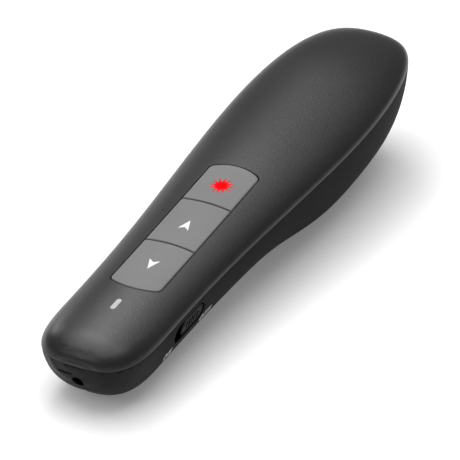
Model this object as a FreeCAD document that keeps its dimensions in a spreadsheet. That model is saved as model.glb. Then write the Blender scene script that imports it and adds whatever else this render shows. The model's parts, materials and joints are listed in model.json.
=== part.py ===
import FreeCAD, Part
import Sketcher
import math
import os
from types import SimpleNamespace

from FreeCAD import Placement, Rotation, Vector

# Hand-held wireless presentation clicker, in millimetres.
# It is drawn in its own frame: x across, y from the nose tip towards the tail, z up from the
# parting line (the rim) between the two shells. At the end every piece gets one placement that
# lays the clicker on a table, on the flats under its nose and its belly, with the laser at -Y.

SIZES = {
    "outer form": {
        "overallLength": 150, "tipOffset": 0.05,
        "gripHalfWidth": 13.5, "palmHalfWidth": 18.5, "widenStart": 17, "widenEnd": 130,
        "nosePlanReach": 19.7, "nosePlanPower": 3.25, "tailPlanReach": 58.3, "tailPlanPower": 3.13,
        "gripCrown": 4.5, "palmCrown": 5.75, "crownStart": 30, "crownEnd": 120,
        "noseCrownReach": 8.4, "tailCrownReach": 33, "crownPower": 2,
        "gripDepth": 14.7, "palmDepth": 22.4, "deepenStart": 58, "deepenEnd": 110,
        "noseDepthReach": 19.2, "tailDepthReach": 26, "bellyPower": 2.64, "capPower": 2.2,
        "bellyStartShare": 0.3,
        "tailRimLift": 0.65, "tailRimStart": 90, "noseRimDrop": 0.25, "noseRimEnd": 60,
        "restTilt": 5, "restFlat": 0.42,
    },
    "shells": {
        "wall": 1.6, "partingGap": 0.06, "overrun": 1,
        "tabLength": 6, "tabThickness": 0.9, "tabDepth": 2.5, "tabRise": 1.2, "tabGap": 0.15,
        "frontTabStation": 48, "rearTabStation": 104,
        "ribThickness": 1, "ribWindowHalfWidth": 6, "ribWindowHeight": 6,
        "frontRibStation": 41, "rearRibStation": 68, "ribGap": 0.1,
    },
    "keys": {
        "keyHalfWidth": 6.8, "keysNose": 26.2, "keysTail": 78.8, "keysEndSagitta": 1.8,
        "keysCornerRadius": 1.9, "frontSplit": 44.7, "rearSplit": 62.5, "splitSagitta": 0.3,
        "splitGap": 0.4, "keyGap": 0.28, "keyProud": 0.15, "keyFloor": 1.1,
        "flangeReach": 0.6, "flangeThickness": 0.8,
    },
    "indicator": {
        "windowStation": 19.5, "windowLength": 4.2, "windowWidth": 1.35, "pipeGap": 0.05,
        "pipeSink": 0.05, "pipeFlangeReach": 0.7, "pipeFlangeThickness": 0.6,
        "pipeFlangeTop": 2.5, "pipeLampGap": 0.2,
        "lampLength": 1.6, "lampWidth": 0.8, "lampHeight": 0.6,
    },
    "circuit board": {
        "boardLaserGap": 1.3, "boardEnd": 77.5, "boardHalfWidth": 10.6, "boardThickness": 1.2,
        "boardTop": -1.9, "boardCornerRadius": 2.5, "boardScrewInset": 3.3,
        "boardScrewRearInset": 3.2, "boardScrewOffset": 9.2,
        "boardScrewRadius": 0.8, "boardHeadRadius": 1.5, "boardHeadHeight": 1,
        "boardScrewLength": 3.6, "boardHoleRadius": 0.95, "boardBossRadius": 1.5,
        "boardPilotRadius": 0.8,
    },
    "key switches": {
        "tactSide": 4.6, "tactHeight": 2, "plungerRadius": 0.95, "plungerGap": 0.1,
        "plungerDepth": 1, "plungerWellFloor": 0.4, "downStation": 36.3, "upStation": 52.8,
        "laserKeyStation": 70.1,
    },
    "power slider": {
        "slotStart": 23, "slotEnd": 36.9, "slotHalfHeight": 2.55, "slotCentre": -4.1,
        "knobLength": 10.2, "knobHalfHeight": 2.1, "knobEndGap": 0.35, "knobInset": 0.25,
        "knobFlangeReach": 1.1, "knobFlangeThickness": 0.7,
        "knobFlangeGap": 0.2, "sliderTravel": 3, "ribGrooves": 5, "grooveWidth": 0.6,
        "groovePitch": 1.15, "grooveDepth": 0.45, "grooveHalfHeight": 1.2,
        "switchLength": 8.6, "switchWidth": 3.4, "switchHeight": 2.6, "switchInnerFace": 5,
        "leverWidth": 1.4, "leverHeight": 1.2, "leverGap": 0.15, "leverRoot": 1.2,
    },
    "laser": {
        "laserAxisHeight": -5.2, "apertureRadius": 1.5, "seatRadius": 3.9,
        "seatRecess": 0.5, "barrelStart": 4.2, "barrelLength": 11, "barrelRadius": 3,
        "barrelBore": 2.3, "barrelFit": 0.06, "lensRadius": 2.2, "lensThickness": 1.1,
        "lensBulge": 0.35, "lensStart": 1.1, "ringLength": 0.9, "ringBore": 1.4,
        "diodeRadius": 1.65, "diodeLength": 3.5, "diodeFlangeRadius": 2.2,
        "diodeFlangeLength": 0.9, "driverRadius": 2.9, "driverThickness": 0.8,
        "cradleFront": 7.4, "cradleRear": 12.2, "cradleThickness": 1.1, "cradleHalfWidth": 3.6,
        "leadRadius": 0.35, "leadSpread": 1.2, "leadReach": 5.2,
    },
    "battery bay": {
        "bayStart": 79.5, "bayEnd": 129, "bayHalfWidth": 11.1, "bayWall": 1.1, "bayRoof": -4.45,
        "bayRoofThickness": 1.2, "cellRadius": 5.25, "cellLength": 44.5, "cellSpacing": 11,
        "cellAxisHeight": -10, "cellNubRadius": 1.9, "cellNubLength": 0.8, "cellEdge": 0.5,
        "contactThickness": 0.3, "contactHalfWidth": 4, "contactTop": -6.3,
        "contactBottom": -12.6, "contactBump": 0.6, "contactBumpRadius": 1.4,
        "springWireRadius": 0.25, "springBaseRadius": 3, "springTipRadius": 1.6,
        "springTurns": 3, "contactGap": 0.05, "tailStripWidth": 1.6,
    },
    "case screws": {
        "frontScrewStation": 92, "rearScrewStation": 120, "caseScrewRadius": 1,
        "caseScrewLength": 6, "caseHeadRadius": 2.1, "caseHeadHeight": 1.3,
        "headRecess": 0.9, "padRadius": 3.6, "padThickness": 1.3, "caseBossRadius": 2.6,
        "casePilotRadius": 1, "caseHoleRadius": 1.2,
    },
    "battery cover": {
        "coverStart": 77.6, "coverEnd": 131.6, "coverHalfWidth": 12.75, "coverCorner": 5,
        "coverGap": 0.25, "coverWall": 1.4, "ledgeInset": 1.5, "ledgeThickness": 1.2,
        "ledgeReach": 1.5, "hookHalfWidth": 2, "hookReach": 1.2,
        "hookRoot": 0.5, "hookLow": 1.75, "hookThickness": 0.9, "hookNotchGap": 0.4,
        "coverRibThickness": 1.1, "coverRibHalfWidth": 10.2, "coverRibGap": 0.3,
        "coverRibFirst": 92, "coverRibPitch": 14, "coverRibs": 3,
        "latchHalfWidth": 4, "latchThickness": 0.9, "latchInset": 0.3, "latchHeight": 3.6,
        "latchGap": 0.35, "gripGrooves": 4, "gripGroovePitch": 1.6, "gripGrooveWidth": 0.7,
        "gripGrooveDepth": 0.4, "gripGrooveHalfWidth": 4.5, "gripFirstStation": 121.5,
    },
    "receiver": {
        "receiverAxisHeight": -4, "plugStart": 131.1, "plugLength": 12, "plugWidth": 12,
        "plugHeight": 4.5, "plugSheet": 0.3, "plugGap": 0.2, "wellWall": 1,
        "capWidth": 14.2, "capHeight": 6.4, "capCorner": 1.5, "capGap": 0.25,
        "tongueHeight": 1.9, "tongueGap": 0.12, "padWidth": 1.1, "padPitch": 2.4,
        "padCount": 4, "padLength": 7, "contactPadThickness": 0.15, "padInset": 0.8,
        "nailGrooveHeight": 0.8, "nailGrooveDepth": 0.5, "nailGrooveHalfWidth": 4,
    },
    "electronics": {
        "radioSide": 5, "radioHeight": 0.9, "radioStation": 56, "controllerLength": 6.2,
        "controllerWidth": 5.2, "controllerHeight": 1.4, "controllerStation": 47.5,
        "crystalLength": 3.2, "crystalWidth": 2.5, "crystalHeight": 0.8, "crystalOffset": 5.2,
        "antennaLength": 8, "antennaWidth": 2, "antennaHeight": 1.1, "antennaStation": 72.6,
        "chipLength": 1.6, "chipWidth": 0.8, "chipHeight": 0.6, "chipPitch": 2.4,
        "chipRows": 2, "chipsInRow": 4, "chipRowOffset": 6.6, "chipFirstStation": 58.6,
        "batteryLeadRadius": 0.4, "batteryLeadReach": 1.8, "leadTurnShare": 0.45,
    },
}

doc = FreeCAD.newDocument("PresentationClicker")
sheet = doc.addObject("Spreadsheet::Sheet", "Sizes")
sheetRow = 0
for groupName, group in SIZES.items():
    sheetRow += 1
    sheet.set(f"A{sheetRow}", groupName)
    for alias, value in group.items():
        sheetRow += 1
        sheet.set(f"A{sheetRow}", alias)
        sheet.set(f"B{sheetRow}", str(value))
        sheet.setAlias(f"B{sheetRow}", alias)
doc.recompute()
d = SimpleNamespace(**{alias: sheet.get(alias) for group in SIZES.values() for alias in group})

X_AXIS, Y_AXIS, Z_AXIS = Vector(1, 0, 0), Vector(0, 1, 0), Vector(0, 0, 1)
SIDES = (-1, 1)
SECTIONS = 24
SECTION_POINTS = 12
FAR = 2 * d.overallLength


# The outer form

def smoothStep(share):
    """A step from 0 to 1 with no slope or curvature at either end."""
    share = min(max(share, 0), 1)
    return share ** 3 * (share * (6 * share - 15) + 10)


def endCap(distance, reach, power):
    """Share of the full size at a distance from a tip whose rounding reaches that far in."""
    short = min(max(1 - distance / reach, 0), 1)
    return (1 - short ** power) ** (1 / power)


def formAt(station, inset):
    """Half width, rim height, crown above it and depth below it, with the form inset evenly."""
    fromNose = station - inset
    fromTail = d.overallLength - inset - station
    widening = smoothStep((station - d.widenStart) / (d.widenEnd - d.widenStart))
    halfWidth = d.gripHalfWidth + (d.palmHalfWidth - d.gripHalfWidth) * widening - inset
    halfWidth *= endCap(fromNose, d.nosePlanReach - inset, d.nosePlanPower)
    halfWidth *= endCap(fromTail, d.tailPlanReach - inset, d.tailPlanPower)
    rising = smoothStep((station - d.crownStart) / (d.crownEnd - d.crownStart))
    crown = d.gripCrown + (d.palmCrown - d.gripCrown) * rising - inset
    crown *= endCap(fromNose, d.noseCrownReach - inset, d.capPower)
    crown *= endCap(fromTail, d.tailCrownReach - inset, d.capPower)
    deepening = smoothStep((station - d.deepenStart) / (d.deepenEnd - d.deepenStart))
    depth = d.gripDepth + (d.palmDepth - d.gripDepth) * deepening - inset
    depth *= endCap(fromNose, d.noseDepthReach - inset, d.capPower)
    depth *= endCap(fromTail, d.tailDepthReach - inset, d.capPower)
    lift = d.tailRimLift * smoothStep((station - d.tailRimStart) / (d.overallLength - d.tailRimStart))
    drop = d.noseRimDrop * smoothStep((d.noseRimEnd - station) / d.noseRimEnd)
    return halfWidth, lift - drop, crown, depth


def superellipse(angle, power):
    """The point of a unit superellipse in the direction of an angle."""
    across, along = math.cos(angle), math.sin(angle)
    radius = (abs(across) ** power + abs(along) ** power) ** (-1 / power)
    return radius * across, radius * along


def closedSection(points, legs):
    """A smooth arch through the points, closed by a straight line past upright legs."""
    parameters = [index / (len(points) - 1) for index in range(len(points))]
    arch = Part.BSplineCurve()
    arch.interpolate(Points=points, Parameters=parameters)
    corners = [points[-1], points[-1] + Z_AXIS * legs, points[0] + Z_AXIS * legs, points[0]]
    if legs == 0:
        corners = [points[-1], points[0]]
    return Part.Wire([arch.toShape()] + [Part.makeLine(*pair) for pair in zip(corners, corners[1:])])


def crownSection(station, inset, below):
    """Half a superellipse over the rim, on legs that reach below it."""
    halfWidth, rim, crown, _ = formAt(station, inset)
    points = []
    for index in range(SECTION_POINTS + 1):
        across, along = superellipse(math.pi * index / SECTION_POINTS, d.crownPower)
        points.append(Vector(halfWidth * across, station, rim + crown * along))
    return closedSection(points, -below)


def bellySection(station, inset, above):
    """The lower part of a superellipse, so that its sides draw in from the rim downwards."""
    halfWidth, rim, _, depth = formAt(station, inset)
    share = d.bellyStartShare
    widest = (1 - share ** d.bellyPower) ** (1 / d.bellyPower)
    first = math.atan2(share, widest)
    points = []
    for index in range(SECTION_POINTS + 1):
        angle = first + (math.pi - 2 * first) * index / SECTION_POINTS
        across, along = superellipse(angle, d.bellyPower)
        fall = (along - share) / (1 - share)
        height = rim - d.partingGap - (depth - d.partingGap) * fall
        points.append(Vector(halfWidth * across / widest, station, height))
    return closedSection(points, above)


def formSolid(section, inset, past):
    """The crown or the belly as a solid through sections that crowd towards both tips.
    Straight runs between the sections keep its facets few."""
    first = inset + d.tipOffset
    last = d.overallLength - inset - d.tipOffset
    wires = []
    for index in range(SECTIONS + 1):
        share = (1 - math.cos(math.pi * index / SECTIONS)) / 2
        wires.append(section(first + (last - first) * share, inset, past))
    return Part.makeLoft(wires, True, True)


# Small helpers

def block(xLow, xHigh, yLow, yHigh, zLow, zHigh):
    """A box between two opposite corners."""
    return Part.makeBox(xHigh - xLow, yHigh - yLow, zHigh - zLow, Vector(xLow, yLow, zLow))


def rod(radius, start, end):
    """A round rod from one point to another."""
    return Part.makeCylinder(radius, (end - start).Length, start, end - start)


def roundedBlock(halfWidth, yLow, yHigh, zLow, zHigh, radius):
    """A box with its upright edges rounded."""
    plain = block(-halfWidth, halfWidth, yLow, yHigh, zLow, zHigh)
    upright = [edge for edge in plain.Edges if abs(edge.tangentAt(0).z) > 0.5]
    return plain.makeFillet(radius, upright)


def stadiumAlongY(halfWidth, yLow, yHigh, zLow, zHigh):
    """An upright column whose outline has two straight sides and two round ends."""
    middle = block(-halfWidth, halfWidth, yLow + halfWidth, yHigh - halfWidth, zLow, zHigh)
    ends = [rod(halfWidth, Vector(0, y, zLow), Vector(0, y, zHigh))
            for y in (yLow + halfWidth, yHigh - halfWidth)]
    return middle.fuse(ends).removeSplitter()


def sideStadium(xLow, xHigh, yLow, yHigh, centre, halfHeight):
    """A stadium column lying across, for the slot and its knob."""
    middle = block(xLow, xHigh, yLow + halfHeight, yHigh - halfHeight, centre - halfHeight, centre + halfHeight)
    ends = [rod(halfHeight, Vector(xLow, y, centre), Vector(xHigh, y, centre))
            for y in (yLow + halfHeight, yHigh - halfHeight)]
    return middle.fuse(ends).removeSplitter()


def tubeAlong(points, radius):
    """A wire through hand-set points, with an arc at each turn as large as its runs allow."""
    edges = []
    start = points[0]
    for before, corner, after in zip(points, points[1:], points[2:]):
        inward = (before - corner).normalize()
        outward = (after - corner).normalize()
        turn = math.pi - inward.getAngle(outward)
        trim = d.leadTurnShare * min((before - corner).Length, (after - corner).Length)
        bend = trim / math.tan(turn / 2)
        centre = corner + (inward + outward).normalize() * (bend / math.cos(turn / 2))
        middle = centre + (corner - centre).normalize() * bend
        edges.append(Part.makeLine(start, corner + inward * trim))
        edges.append(Part.Arc(corner + inward * trim, middle, corner + outward * trim).toShape())
        start = corner + outward * trim
    edges.append(Part.makeLine(start, points[-1]))
    heading = (points[1] - points[0]).normalize()
    ring = Part.Wire(Part.makeCircle(radius, points[0], heading))
    return Part.Wire(edges).makePipeShell([ring], True, True)


nodes = {}
seats = {}


def shapePiece(label, shape):
    """A sub-part whose form neither sketches nor primitives make."""
    piece = doc.addObject("Part::Feature", label)
    piece.Shape = shape
    nodes[label] = piece
    return piece


def primitive(kind, name, sizes, place):
    """A primitive whose sizes and place are formulas on the sheet."""
    piece = doc.addObject(kind, name)
    for prop, formula in sizes.items():
        piece.setExpression(prop, formula)
    for axis, formula in zip("xyz", place):
        piece.setExpression(f"Placement.Base.{axis}", formula)
    return piece


def boxPiece(name, xLow, width, yLow, length, zLow, height):
    """A box given by its low corner and its sizes across, along and up."""
    sizes = {"Length": width, "Width": length, "Height": height}
    return primitive("Part::Box", name, sizes, (xLow, yLow, zLow))


def groupPiece(label, pieces):
    """A node that holds one or more solids made elsewhere in the document."""
    group = doc.addObject("Part::Compound", label)
    group.Links = pieces
    nodes[label] = group
    return group


def cutPiece(label, base, tool):
    """A node that is one solid less another."""
    piece = doc.addObject("Part::Cut", label)
    piece.Base = base
    piece.Tool = tool
    nodes[label] = piece
    return piece


def sketchOn(body, plane, corners):
    """A closed outline of straight lines whose corners are formulas on the sheet."""
    sketch = body.newObject("Sketcher::SketchObject", body.Name + "Outline")
    origin = [feature for feature in body.Origin.OriginFeatures if feature.Role == plane][0]
    sketch.AttachmentSupport = [(origin, "")]
    sketch.MapMode = "FlatFace"
    spots = [Vector(index + 1, (index % 2) + 1, 0) for index in range(len(corners))]
    for index, spot in enumerate(spots):
        sketch.addGeometry(Part.LineSegment(spot, spots[(index + 1) % len(spots)]))
    for index in range(len(corners)):
        following = (index + 1) % len(corners)
        sketch.addConstraint(Sketcher.Constraint("Coincident", index, 2, following, 1))
    for index, corner in enumerate(corners):
        for kind, axis, formula in (("DistanceX", "u", corner[0]), ("DistanceY", "v", corner[1])):
            number = sketch.addConstraint(Sketcher.Constraint(kind, -1, 1, index, 1, index + 1))
            name = f"{axis}{index}"
            sketch.renameConstraint(number, name)
            sketch.setExpression(f"Constraints.{name}", formula)
    return sketch


def turnedBody(label, corners):
    """A body turned about its own Y axis from corners given as (radius, along)."""
    body = doc.addObject("PartDesign::Body", label)
    sketch = sketchOn(body, "XY_Plane", corners)
    turned = body.newObject("PartDesign::Revolution", label + "Turned")
    turned.Profile = sketch
    turned.ReferenceAxis = (sketch, ["V_Axis"])
    turned.Angle = 360
    body.Tip = turned
    nodes[label] = body
    return body


def roundHoles(body, plane, centres, radius):
    """Equal circles on a body's own plane, with their centres given as formulas."""
    sketch = body.newObject("Sketcher::SketchObject", body.Name + "Holes")
    origin = [feature for feature in body.Origin.OriginFeatures if feature.Role == plane][0]
    sketch.AttachmentSupport = [(origin, "")]
    sketch.MapMode = "FlatFace"
    for index, centre in enumerate(centres):
        sketch.addGeometry(Part.Circle(Vector(index + 1, index + 1, 0), Z_AXIS, 1))
        for kind, axis, formula in (("DistanceX", "u", centre[0]), ("DistanceY", "v", centre[1])):
            number = sketch.addConstraint(Sketcher.Constraint(kind, -1, 1, index, 3, index + 1))
            sketch.renameConstraint(number, f"{axis}{index}")
            sketch.setExpression(f"Constraints.{axis}{index}", formula)
        number = sketch.addConstraint(Sketcher.Constraint("Radius", index, 1))
        sketch.renameConstraint(number, f"r{index}")
        sketch.setExpression(f"Constraints.r{index}", radius)
    return sketch


# Where the clicker lies: nose down on a small flat, belly on another

crownOuter = formSolid(crownSection, 0, 0)
bellyOuter = formSolid(bellySection, 0, 0)
crownCore = formSolid(crownSection, d.wall / 2, 0)
bellyCore = formSolid(bellySection, d.wall / 2, 0)
tilt = Rotation(X_AXIS, d.restTilt)
laid = Part.makeCompound([crownOuter, bellyOuter])
laid.Placement = Placement(Vector(), tilt)
reach = laid.optimalBoundingBox()
onTable = Placement(Vector(0, -(reach.YMin + reach.YMax) / 2, -reach.ZMin - d.restFlat), tilt)
ground = block(-FAR, FAR, -FAR, FAR, -FAR, 0)
ground.Placement = onTable.inverse()


def bellyLayer(outerInset, innerInset):
    """The stretch of the belly between two even insets."""
    return formSolid(bellySection, outerInset, 0).cut(formSolid(bellySection, innerInset, d.overrun))


# Keys

def panelColumn(reach, zLow, zHigh):
    """The outline of the three keys together, with bowed ends, grown evenly by a reach."""
    side = d.keyHalfWidth + reach
    nose, tail = d.keysNose - reach, d.keysTail + reach
    noseCorner, tailCorner = nose + d.keysEndSagitta, tail - d.keysEndSagitta
    edges = [
        Part.Arc(Vector(-side, noseCorner, zLow), Vector(0, nose, zLow), Vector(side, noseCorner, zLow)).toShape(),
        Part.makeLine(Vector(side, noseCorner, zLow), Vector(side, tailCorner, zLow)),
        Part.Arc(Vector(side, tailCorner, zLow), Vector(0, tail, zLow), Vector(-side, tailCorner, zLow)).toShape(),
        Part.makeLine(Vector(-side, tailCorner, zLow), Vector(-side, noseCorner, zLow)),
    ]
    column = Part.Face(Part.Wire(edges)).extrude(Vector(0, 0, zHigh - zLow))
    upright = [edge for edge in column.Edges if abs(edge.tangentAt(edge.FirstParameter).z) > 0.5]
    return column.makeFillet(d.keysCornerRadius + reach, upright)


def keyBand(yLow, yHigh, zLow, zHigh):
    """The stretch of the panel between two gently bowed lines across it."""
    side = d.keyHalfWidth + d.flangeReach + d.overrun
    corners = [Vector(x, y, zLow) for x, y in ((-side, yLow), (side, yLow), (side, yHigh), (-side, yHigh))]
    bowLow = Vector(0, yLow + d.splitSagitta, zLow)
    bowHigh = Vector(0, yHigh + d.splitSagitta, zLow)
    edges = [
        Part.Arc(corners[0], bowLow, corners[1]).toShape(),
        Part.makeLine(corners[1], corners[2]),
        Part.Arc(corners[2], bowHigh, corners[3]).toShape(),
        Part.makeLine(corners[3], corners[0]),
    ]
    return Part.Face(Part.Wire(edges)).extrude(Vector(0, 0, zHigh - zLow))


KEYS = (("page_down", d.downStation, "downStation"),
        ("page_up", d.upStation, "upStation"),
        ("laser", d.laserKeyStation, "laserKeyStation"))
keyTop = d.palmCrown + d.overrun
keyLimits = [d.keysNose - d.wall, d.frontSplit, d.rearSplit, d.keysTail + d.wall]
keyForm = formSolid(crownSection, -d.keyProud, 0)
capColumn = panelColumn(-d.keyGap, d.keyFloor, keyTop).common(keyForm)
flangeColumn = panelColumn(d.flangeReach, d.keyFloor, d.keyFloor + d.flangeThickness)
for number, (name, station, _) in enumerate(KEYS):
    band = keyBand(keyLimits[number] + d.splitGap / 2, keyLimits[number + 1] - d.splitGap / 2,
                   d.keyFloor - d.overrun, keyTop)
    shapePiece(f"{name}_button", capColumn.fuse(flangeColumn).removeSplitter().common(band))


# Upper shell

def hangingPost(x, y, zLow, radius):
    """A post that hangs from the inside of the crown."""
    foot = rod(radius, Vector(x, y, zLow), Vector(x, y, d.overrun))
    head = rod(radius, Vector(x, y, 0), Vector(x, y, keyTop)).common(crownCore)
    return foot.fuse(head)


windowYs = [d.windowStation + side * d.windowLength / 2 for side in SIDES]
windowHalf = d.windowWidth / 2
boardNose = d.barrelStart + d.barrelLength + d.driverThickness + d.boardLaserGap
boardScrewYs = (boardNose + d.boardScrewInset, d.boardEnd - d.boardScrewRearInset)
boardScrewSpots = [(side * d.boardScrewOffset, y) for side in SIDES for y in boardScrewYs]
caseScrewYs = (d.frontScrewStation, d.rearScrewStation)
roofTop = d.bayRoof + d.bayRoofThickness
padTop = roofTop + d.padThickness
caseHeadTop = d.bayRoof + d.headRecess

upper = crownOuter.cut(formSolid(crownSection, d.wall, d.overrun))
upper = upper.cut([panelColumn(0, 0, keyTop), stadiumAlongY(windowHalf, *windowYs, 0, keyTop)])
posts = [hangingPost(x, y, d.boardTop, d.boardBossRadius) for x, y in boardScrewSpots]
posts += [hangingPost(0, y, padTop, d.caseBossRadius) for y in caseScrewYs]
tabLayer = formSolid(bellySection, d.wall + d.tabGap, d.tabRise)
tabLayer = tabLayer.cut(formSolid(bellySection, d.wall + d.tabGap + d.tabThickness, d.tabRise + d.overrun))
tabRuns = [block(-FAR, FAR, y - d.tabLength / 2, y + d.tabLength / 2, -d.tabDepth, FAR)
           for y in (d.frontTabStation, d.rearTabStation)]
tabs = [tabLayer.common(run) for run in tabRuns]
upper = upper.fuse(posts + tabs)
pilots = [rod(d.boardPilotRadius, Vector(x, y, d.boardTop - d.overrun),
              Vector(x, y, d.boardTop + d.boardScrewLength - d.boardThickness)) for x, y in boardScrewSpots]
pilots += [rod(d.casePilotRadius, Vector(0, y, padTop - d.overrun),
               Vector(0, y, caseHeadTop + d.caseScrewLength)) for y in caseScrewYs]
upper = upper.cut(pilots)
shapePiece("upper_shell", upper)


# Lower shell

def coverColumn(reach):
    """The outline of the battery cover, grown evenly, from below up to the bay's roof."""
    return roundedBlock(d.coverHalfWidth + reach, d.coverStart - reach, d.coverEnd + reach,
                        -FAR, d.bayRoof, d.coverCorner + reach)


laserFront = Vector(0, -d.overrun, d.laserAxisHeight)
barrelFront = Vector(0, d.barrelStart, d.laserAxisHeight)
barrelRear = barrelFront + Y_AXIS * (d.barrelLength + d.driverThickness + d.overrun)
boardBottom = d.boardTop - d.boardThickness
wellHalfWidth = d.plugWidth / 2 + d.plugGap
wellHalfHeight = d.plugHeight / 2 + d.plugGap
plugEnd = d.plugStart + d.plugLength
pocketHalfWidth = d.capWidth / 2 + d.capGap
pocketHalfHeight = d.capHeight / 2 + d.capGap
receiverAxis = d.receiverAxisHeight
bayOuterHalf = d.bayHalfWidth + d.bayWall


def aroundReceiver(halfWidth, halfHeight, yLow, yHigh):
    """A box centred on the receiver's axis."""
    return block(-halfWidth, halfWidth, yLow, yHigh, receiverAxis - halfHeight, receiverAxis + halfHeight)


lower = bellyOuter.cut(formSolid(bellySection, d.wall, d.overrun))
lower = lower.cut(coverColumn(d.coverGap))
ledge = bellyLayer(d.ledgeInset, d.ledgeInset + d.ledgeThickness).common(coverColumn(d.ledgeReach))
tub = block(-bayOuterHalf, bayOuterHalf, d.bayStart - d.bayWall, d.bayEnd + d.bayWall, -FAR, roofTop)
tub = tub.common(formSolid(bellySection, d.ledgeInset, 0))
pads = [rod(d.padRadius, Vector(0, y, d.bayRoof), Vector(0, y, padTop)) for y in caseScrewYs]
seat = rod(d.seatRadius, laserFront, barrelFront + Y_AXIS * d.seatRecess).common(bellyCore)
cradles = [block(-d.cradleHalfWidth, d.cradleHalfWidth, y, y + d.cradleThickness, -FAR,
                 d.laserAxisHeight - d.apertureRadius).common(bellyCore)
           for y in (d.cradleFront, d.cradleRear)]
ribTop = boardBottom - d.ribGap
ribs = [block(-FAR, FAR, y, y + d.ribThickness, -FAR, ribTop)
        .cut(block(-d.ribWindowHalfWidth, d.ribWindowHalfWidth, 0, FAR, ribTop - d.ribWindowHeight, FAR))
        .common(bellyCore) for y in (d.frontRibStation, d.rearRibStation)]
well = aroundReceiver(wellHalfWidth + d.wellWall, wellHalfHeight + d.wellWall,
                      d.plugStart - d.plugGap - d.wellWall, plugEnd)
pocket = aroundReceiver(pocketHalfWidth + d.wellWall, pocketHalfHeight + d.wellWall,
                        plugEnd - d.capGap - d.wellWall, FAR).common(bellyCore)
lower = lower.fuse([ledge, tub, seat, well, pocket] + pads + cradles + ribs)

hookOffset = d.coverHalfWidth - d.coverCorner - d.hookNotchGap - d.hookHalfWidth
hookXs = [side * hookOffset for side in SIDES]
hookNotches = [block(x - d.hookHalfWidth - d.hookNotchGap, x + d.hookHalfWidth + d.hookNotchGap,
                     d.coverStart - d.hookReach - d.hookNotchGap, d.bayStart + d.overrun, -FAR, FAR)
               for x in hookXs]
latchRear = d.coverEnd - d.latchInset
latchNotch = block(-d.latchHalfWidth - d.latchGap, d.latchHalfWidth + d.latchGap,
                   d.bayEnd + d.bayWall, d.coverEnd + d.coverGap, -FAR, FAR)
hookLayer = bellyLayer(d.ledgeInset, d.hookLow + d.hookThickness + d.hookReach)
latchLayer = bellyLayer(d.ledgeInset, d.latchHeight + d.ledgeInset + d.latchGap)
stripXs = [side * d.cellSpacing / 2 for side in SIDES]
stripSlits = [block(x - d.tailStripWidth / 2 - d.plungerGap, x + d.tailStripWidth / 2 + d.plungerGap,
                    d.bayStart - d.bayWall - d.overrun, d.bayStart + d.contactThickness,
                    d.contactTop - d.contactThickness - d.plungerGap, d.contactTop + d.plungerGap)
              for x in stripXs]
caseScrewCuts = []
for y in caseScrewYs:
    caseScrewCuts.append(rod(d.caseHoleRadius, Vector(0, y, d.bayRoof - d.overrun), Vector(0, y, padTop + d.overrun)))
    caseScrewCuts.append(rod(d.caseHeadRadius + d.plungerGap, Vector(0, y, d.bayRoof - d.overrun),
                             Vector(0, y, caseHeadTop)))
cuts = [
    block(-d.bayHalfWidth, d.bayHalfWidth, d.bayStart, d.bayEnd, -FAR, d.bayRoof),
    rod(d.apertureRadius, laserFront, barrelFront + Y_AXIS * d.overrun),
    rod(d.barrelRadius + d.barrelFit, barrelFront, barrelRear),
    sideStadium(d.boardHalfWidth - d.overrun, FAR, d.slotStart, d.slotEnd, d.slotCentre, d.slotHalfHeight),
    aroundReceiver(wellHalfWidth, wellHalfHeight, d.plugStart - d.plugGap, FAR),
    aroundReceiver(pocketHalfWidth, pocketHalfHeight, plugEnd - d.capGap, FAR),
    latchNotch.common(latchLayer),
    ground,
]
lower = lower.cut(cuts + [notch.common(hookLayer) for notch in hookNotches] + stripSlits + caseScrewCuts)
shapePiece("lower_shell", lower)


# Battery cover, hinged on two hooks at its nose edge

cells = [rod(d.cellRadius + d.coverRibGap, Vector(x, d.bayStart, d.cellAxisHeight),
             Vector(x, d.bayEnd, d.cellAxisHeight)) for x in stripXs]
coverGrip = d.coverWall - d.plungerGap
cover = bellyOuter.common(coverColumn(0)).cut(formSolid(bellySection, d.coverWall, d.overrun))
riserLayer = bellyLayer(coverGrip, d.hookLow + d.hookThickness)
hookTabLayer = bellyLayer(d.hookLow, d.hookLow + d.hookThickness)
hooks = []
for x in hookXs:
    xLow, xHigh = x - d.hookHalfWidth, x + d.hookHalfWidth
    hooks.append(riserLayer.common(block(xLow, xHigh, d.coverStart, d.coverStart + d.hookRoot, -FAR, FAR)))
    hooks.append(hookTabLayer.common(block(xLow, xHigh, d.coverStart - d.hookReach,
                                           d.coverStart + d.hookRoot, -FAR, FAR)))
latch = block(-d.latchHalfWidth, d.latchHalfWidth, latchRear - d.latchThickness, latchRear, -FAR, FAR)
latch = latch.common(bellyLayer(coverGrip, d.latchHeight + coverGrip))
coverRibTop = d.cellAxisHeight - d.cellRadius / 2
coverRibs = [block(-d.coverRibHalfWidth, d.coverRibHalfWidth, y, y + d.coverRibThickness, -FAR, coverRibTop)
             .common(formSolid(bellySection, coverGrip, 0)).cut(cells)
             for y in (d.coverRibFirst + index * d.coverRibPitch for index in range(int(d.coverRibs)))]
gripLayer = formSolid(bellySection, -d.overrun, 0).cut(formSolid(bellySection, d.gripGrooveDepth, d.overrun))
grooves = [gripLayer.common(block(-d.gripGrooveHalfWidth, d.gripGrooveHalfWidth, y, y + d.gripGrooveWidth,
                                  -FAR, d.bayRoof))
           for y in (d.gripFirstStation + index * d.gripGroovePitch for index in range(int(d.gripGrooves)))]
cover = cover.fuse(hooks + coverRibs + [latch]).cut(grooves + [ground])
shapePiece("battery_cover", cover)


# Indicator: a lamp on the board and a light pipe up to the window

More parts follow.
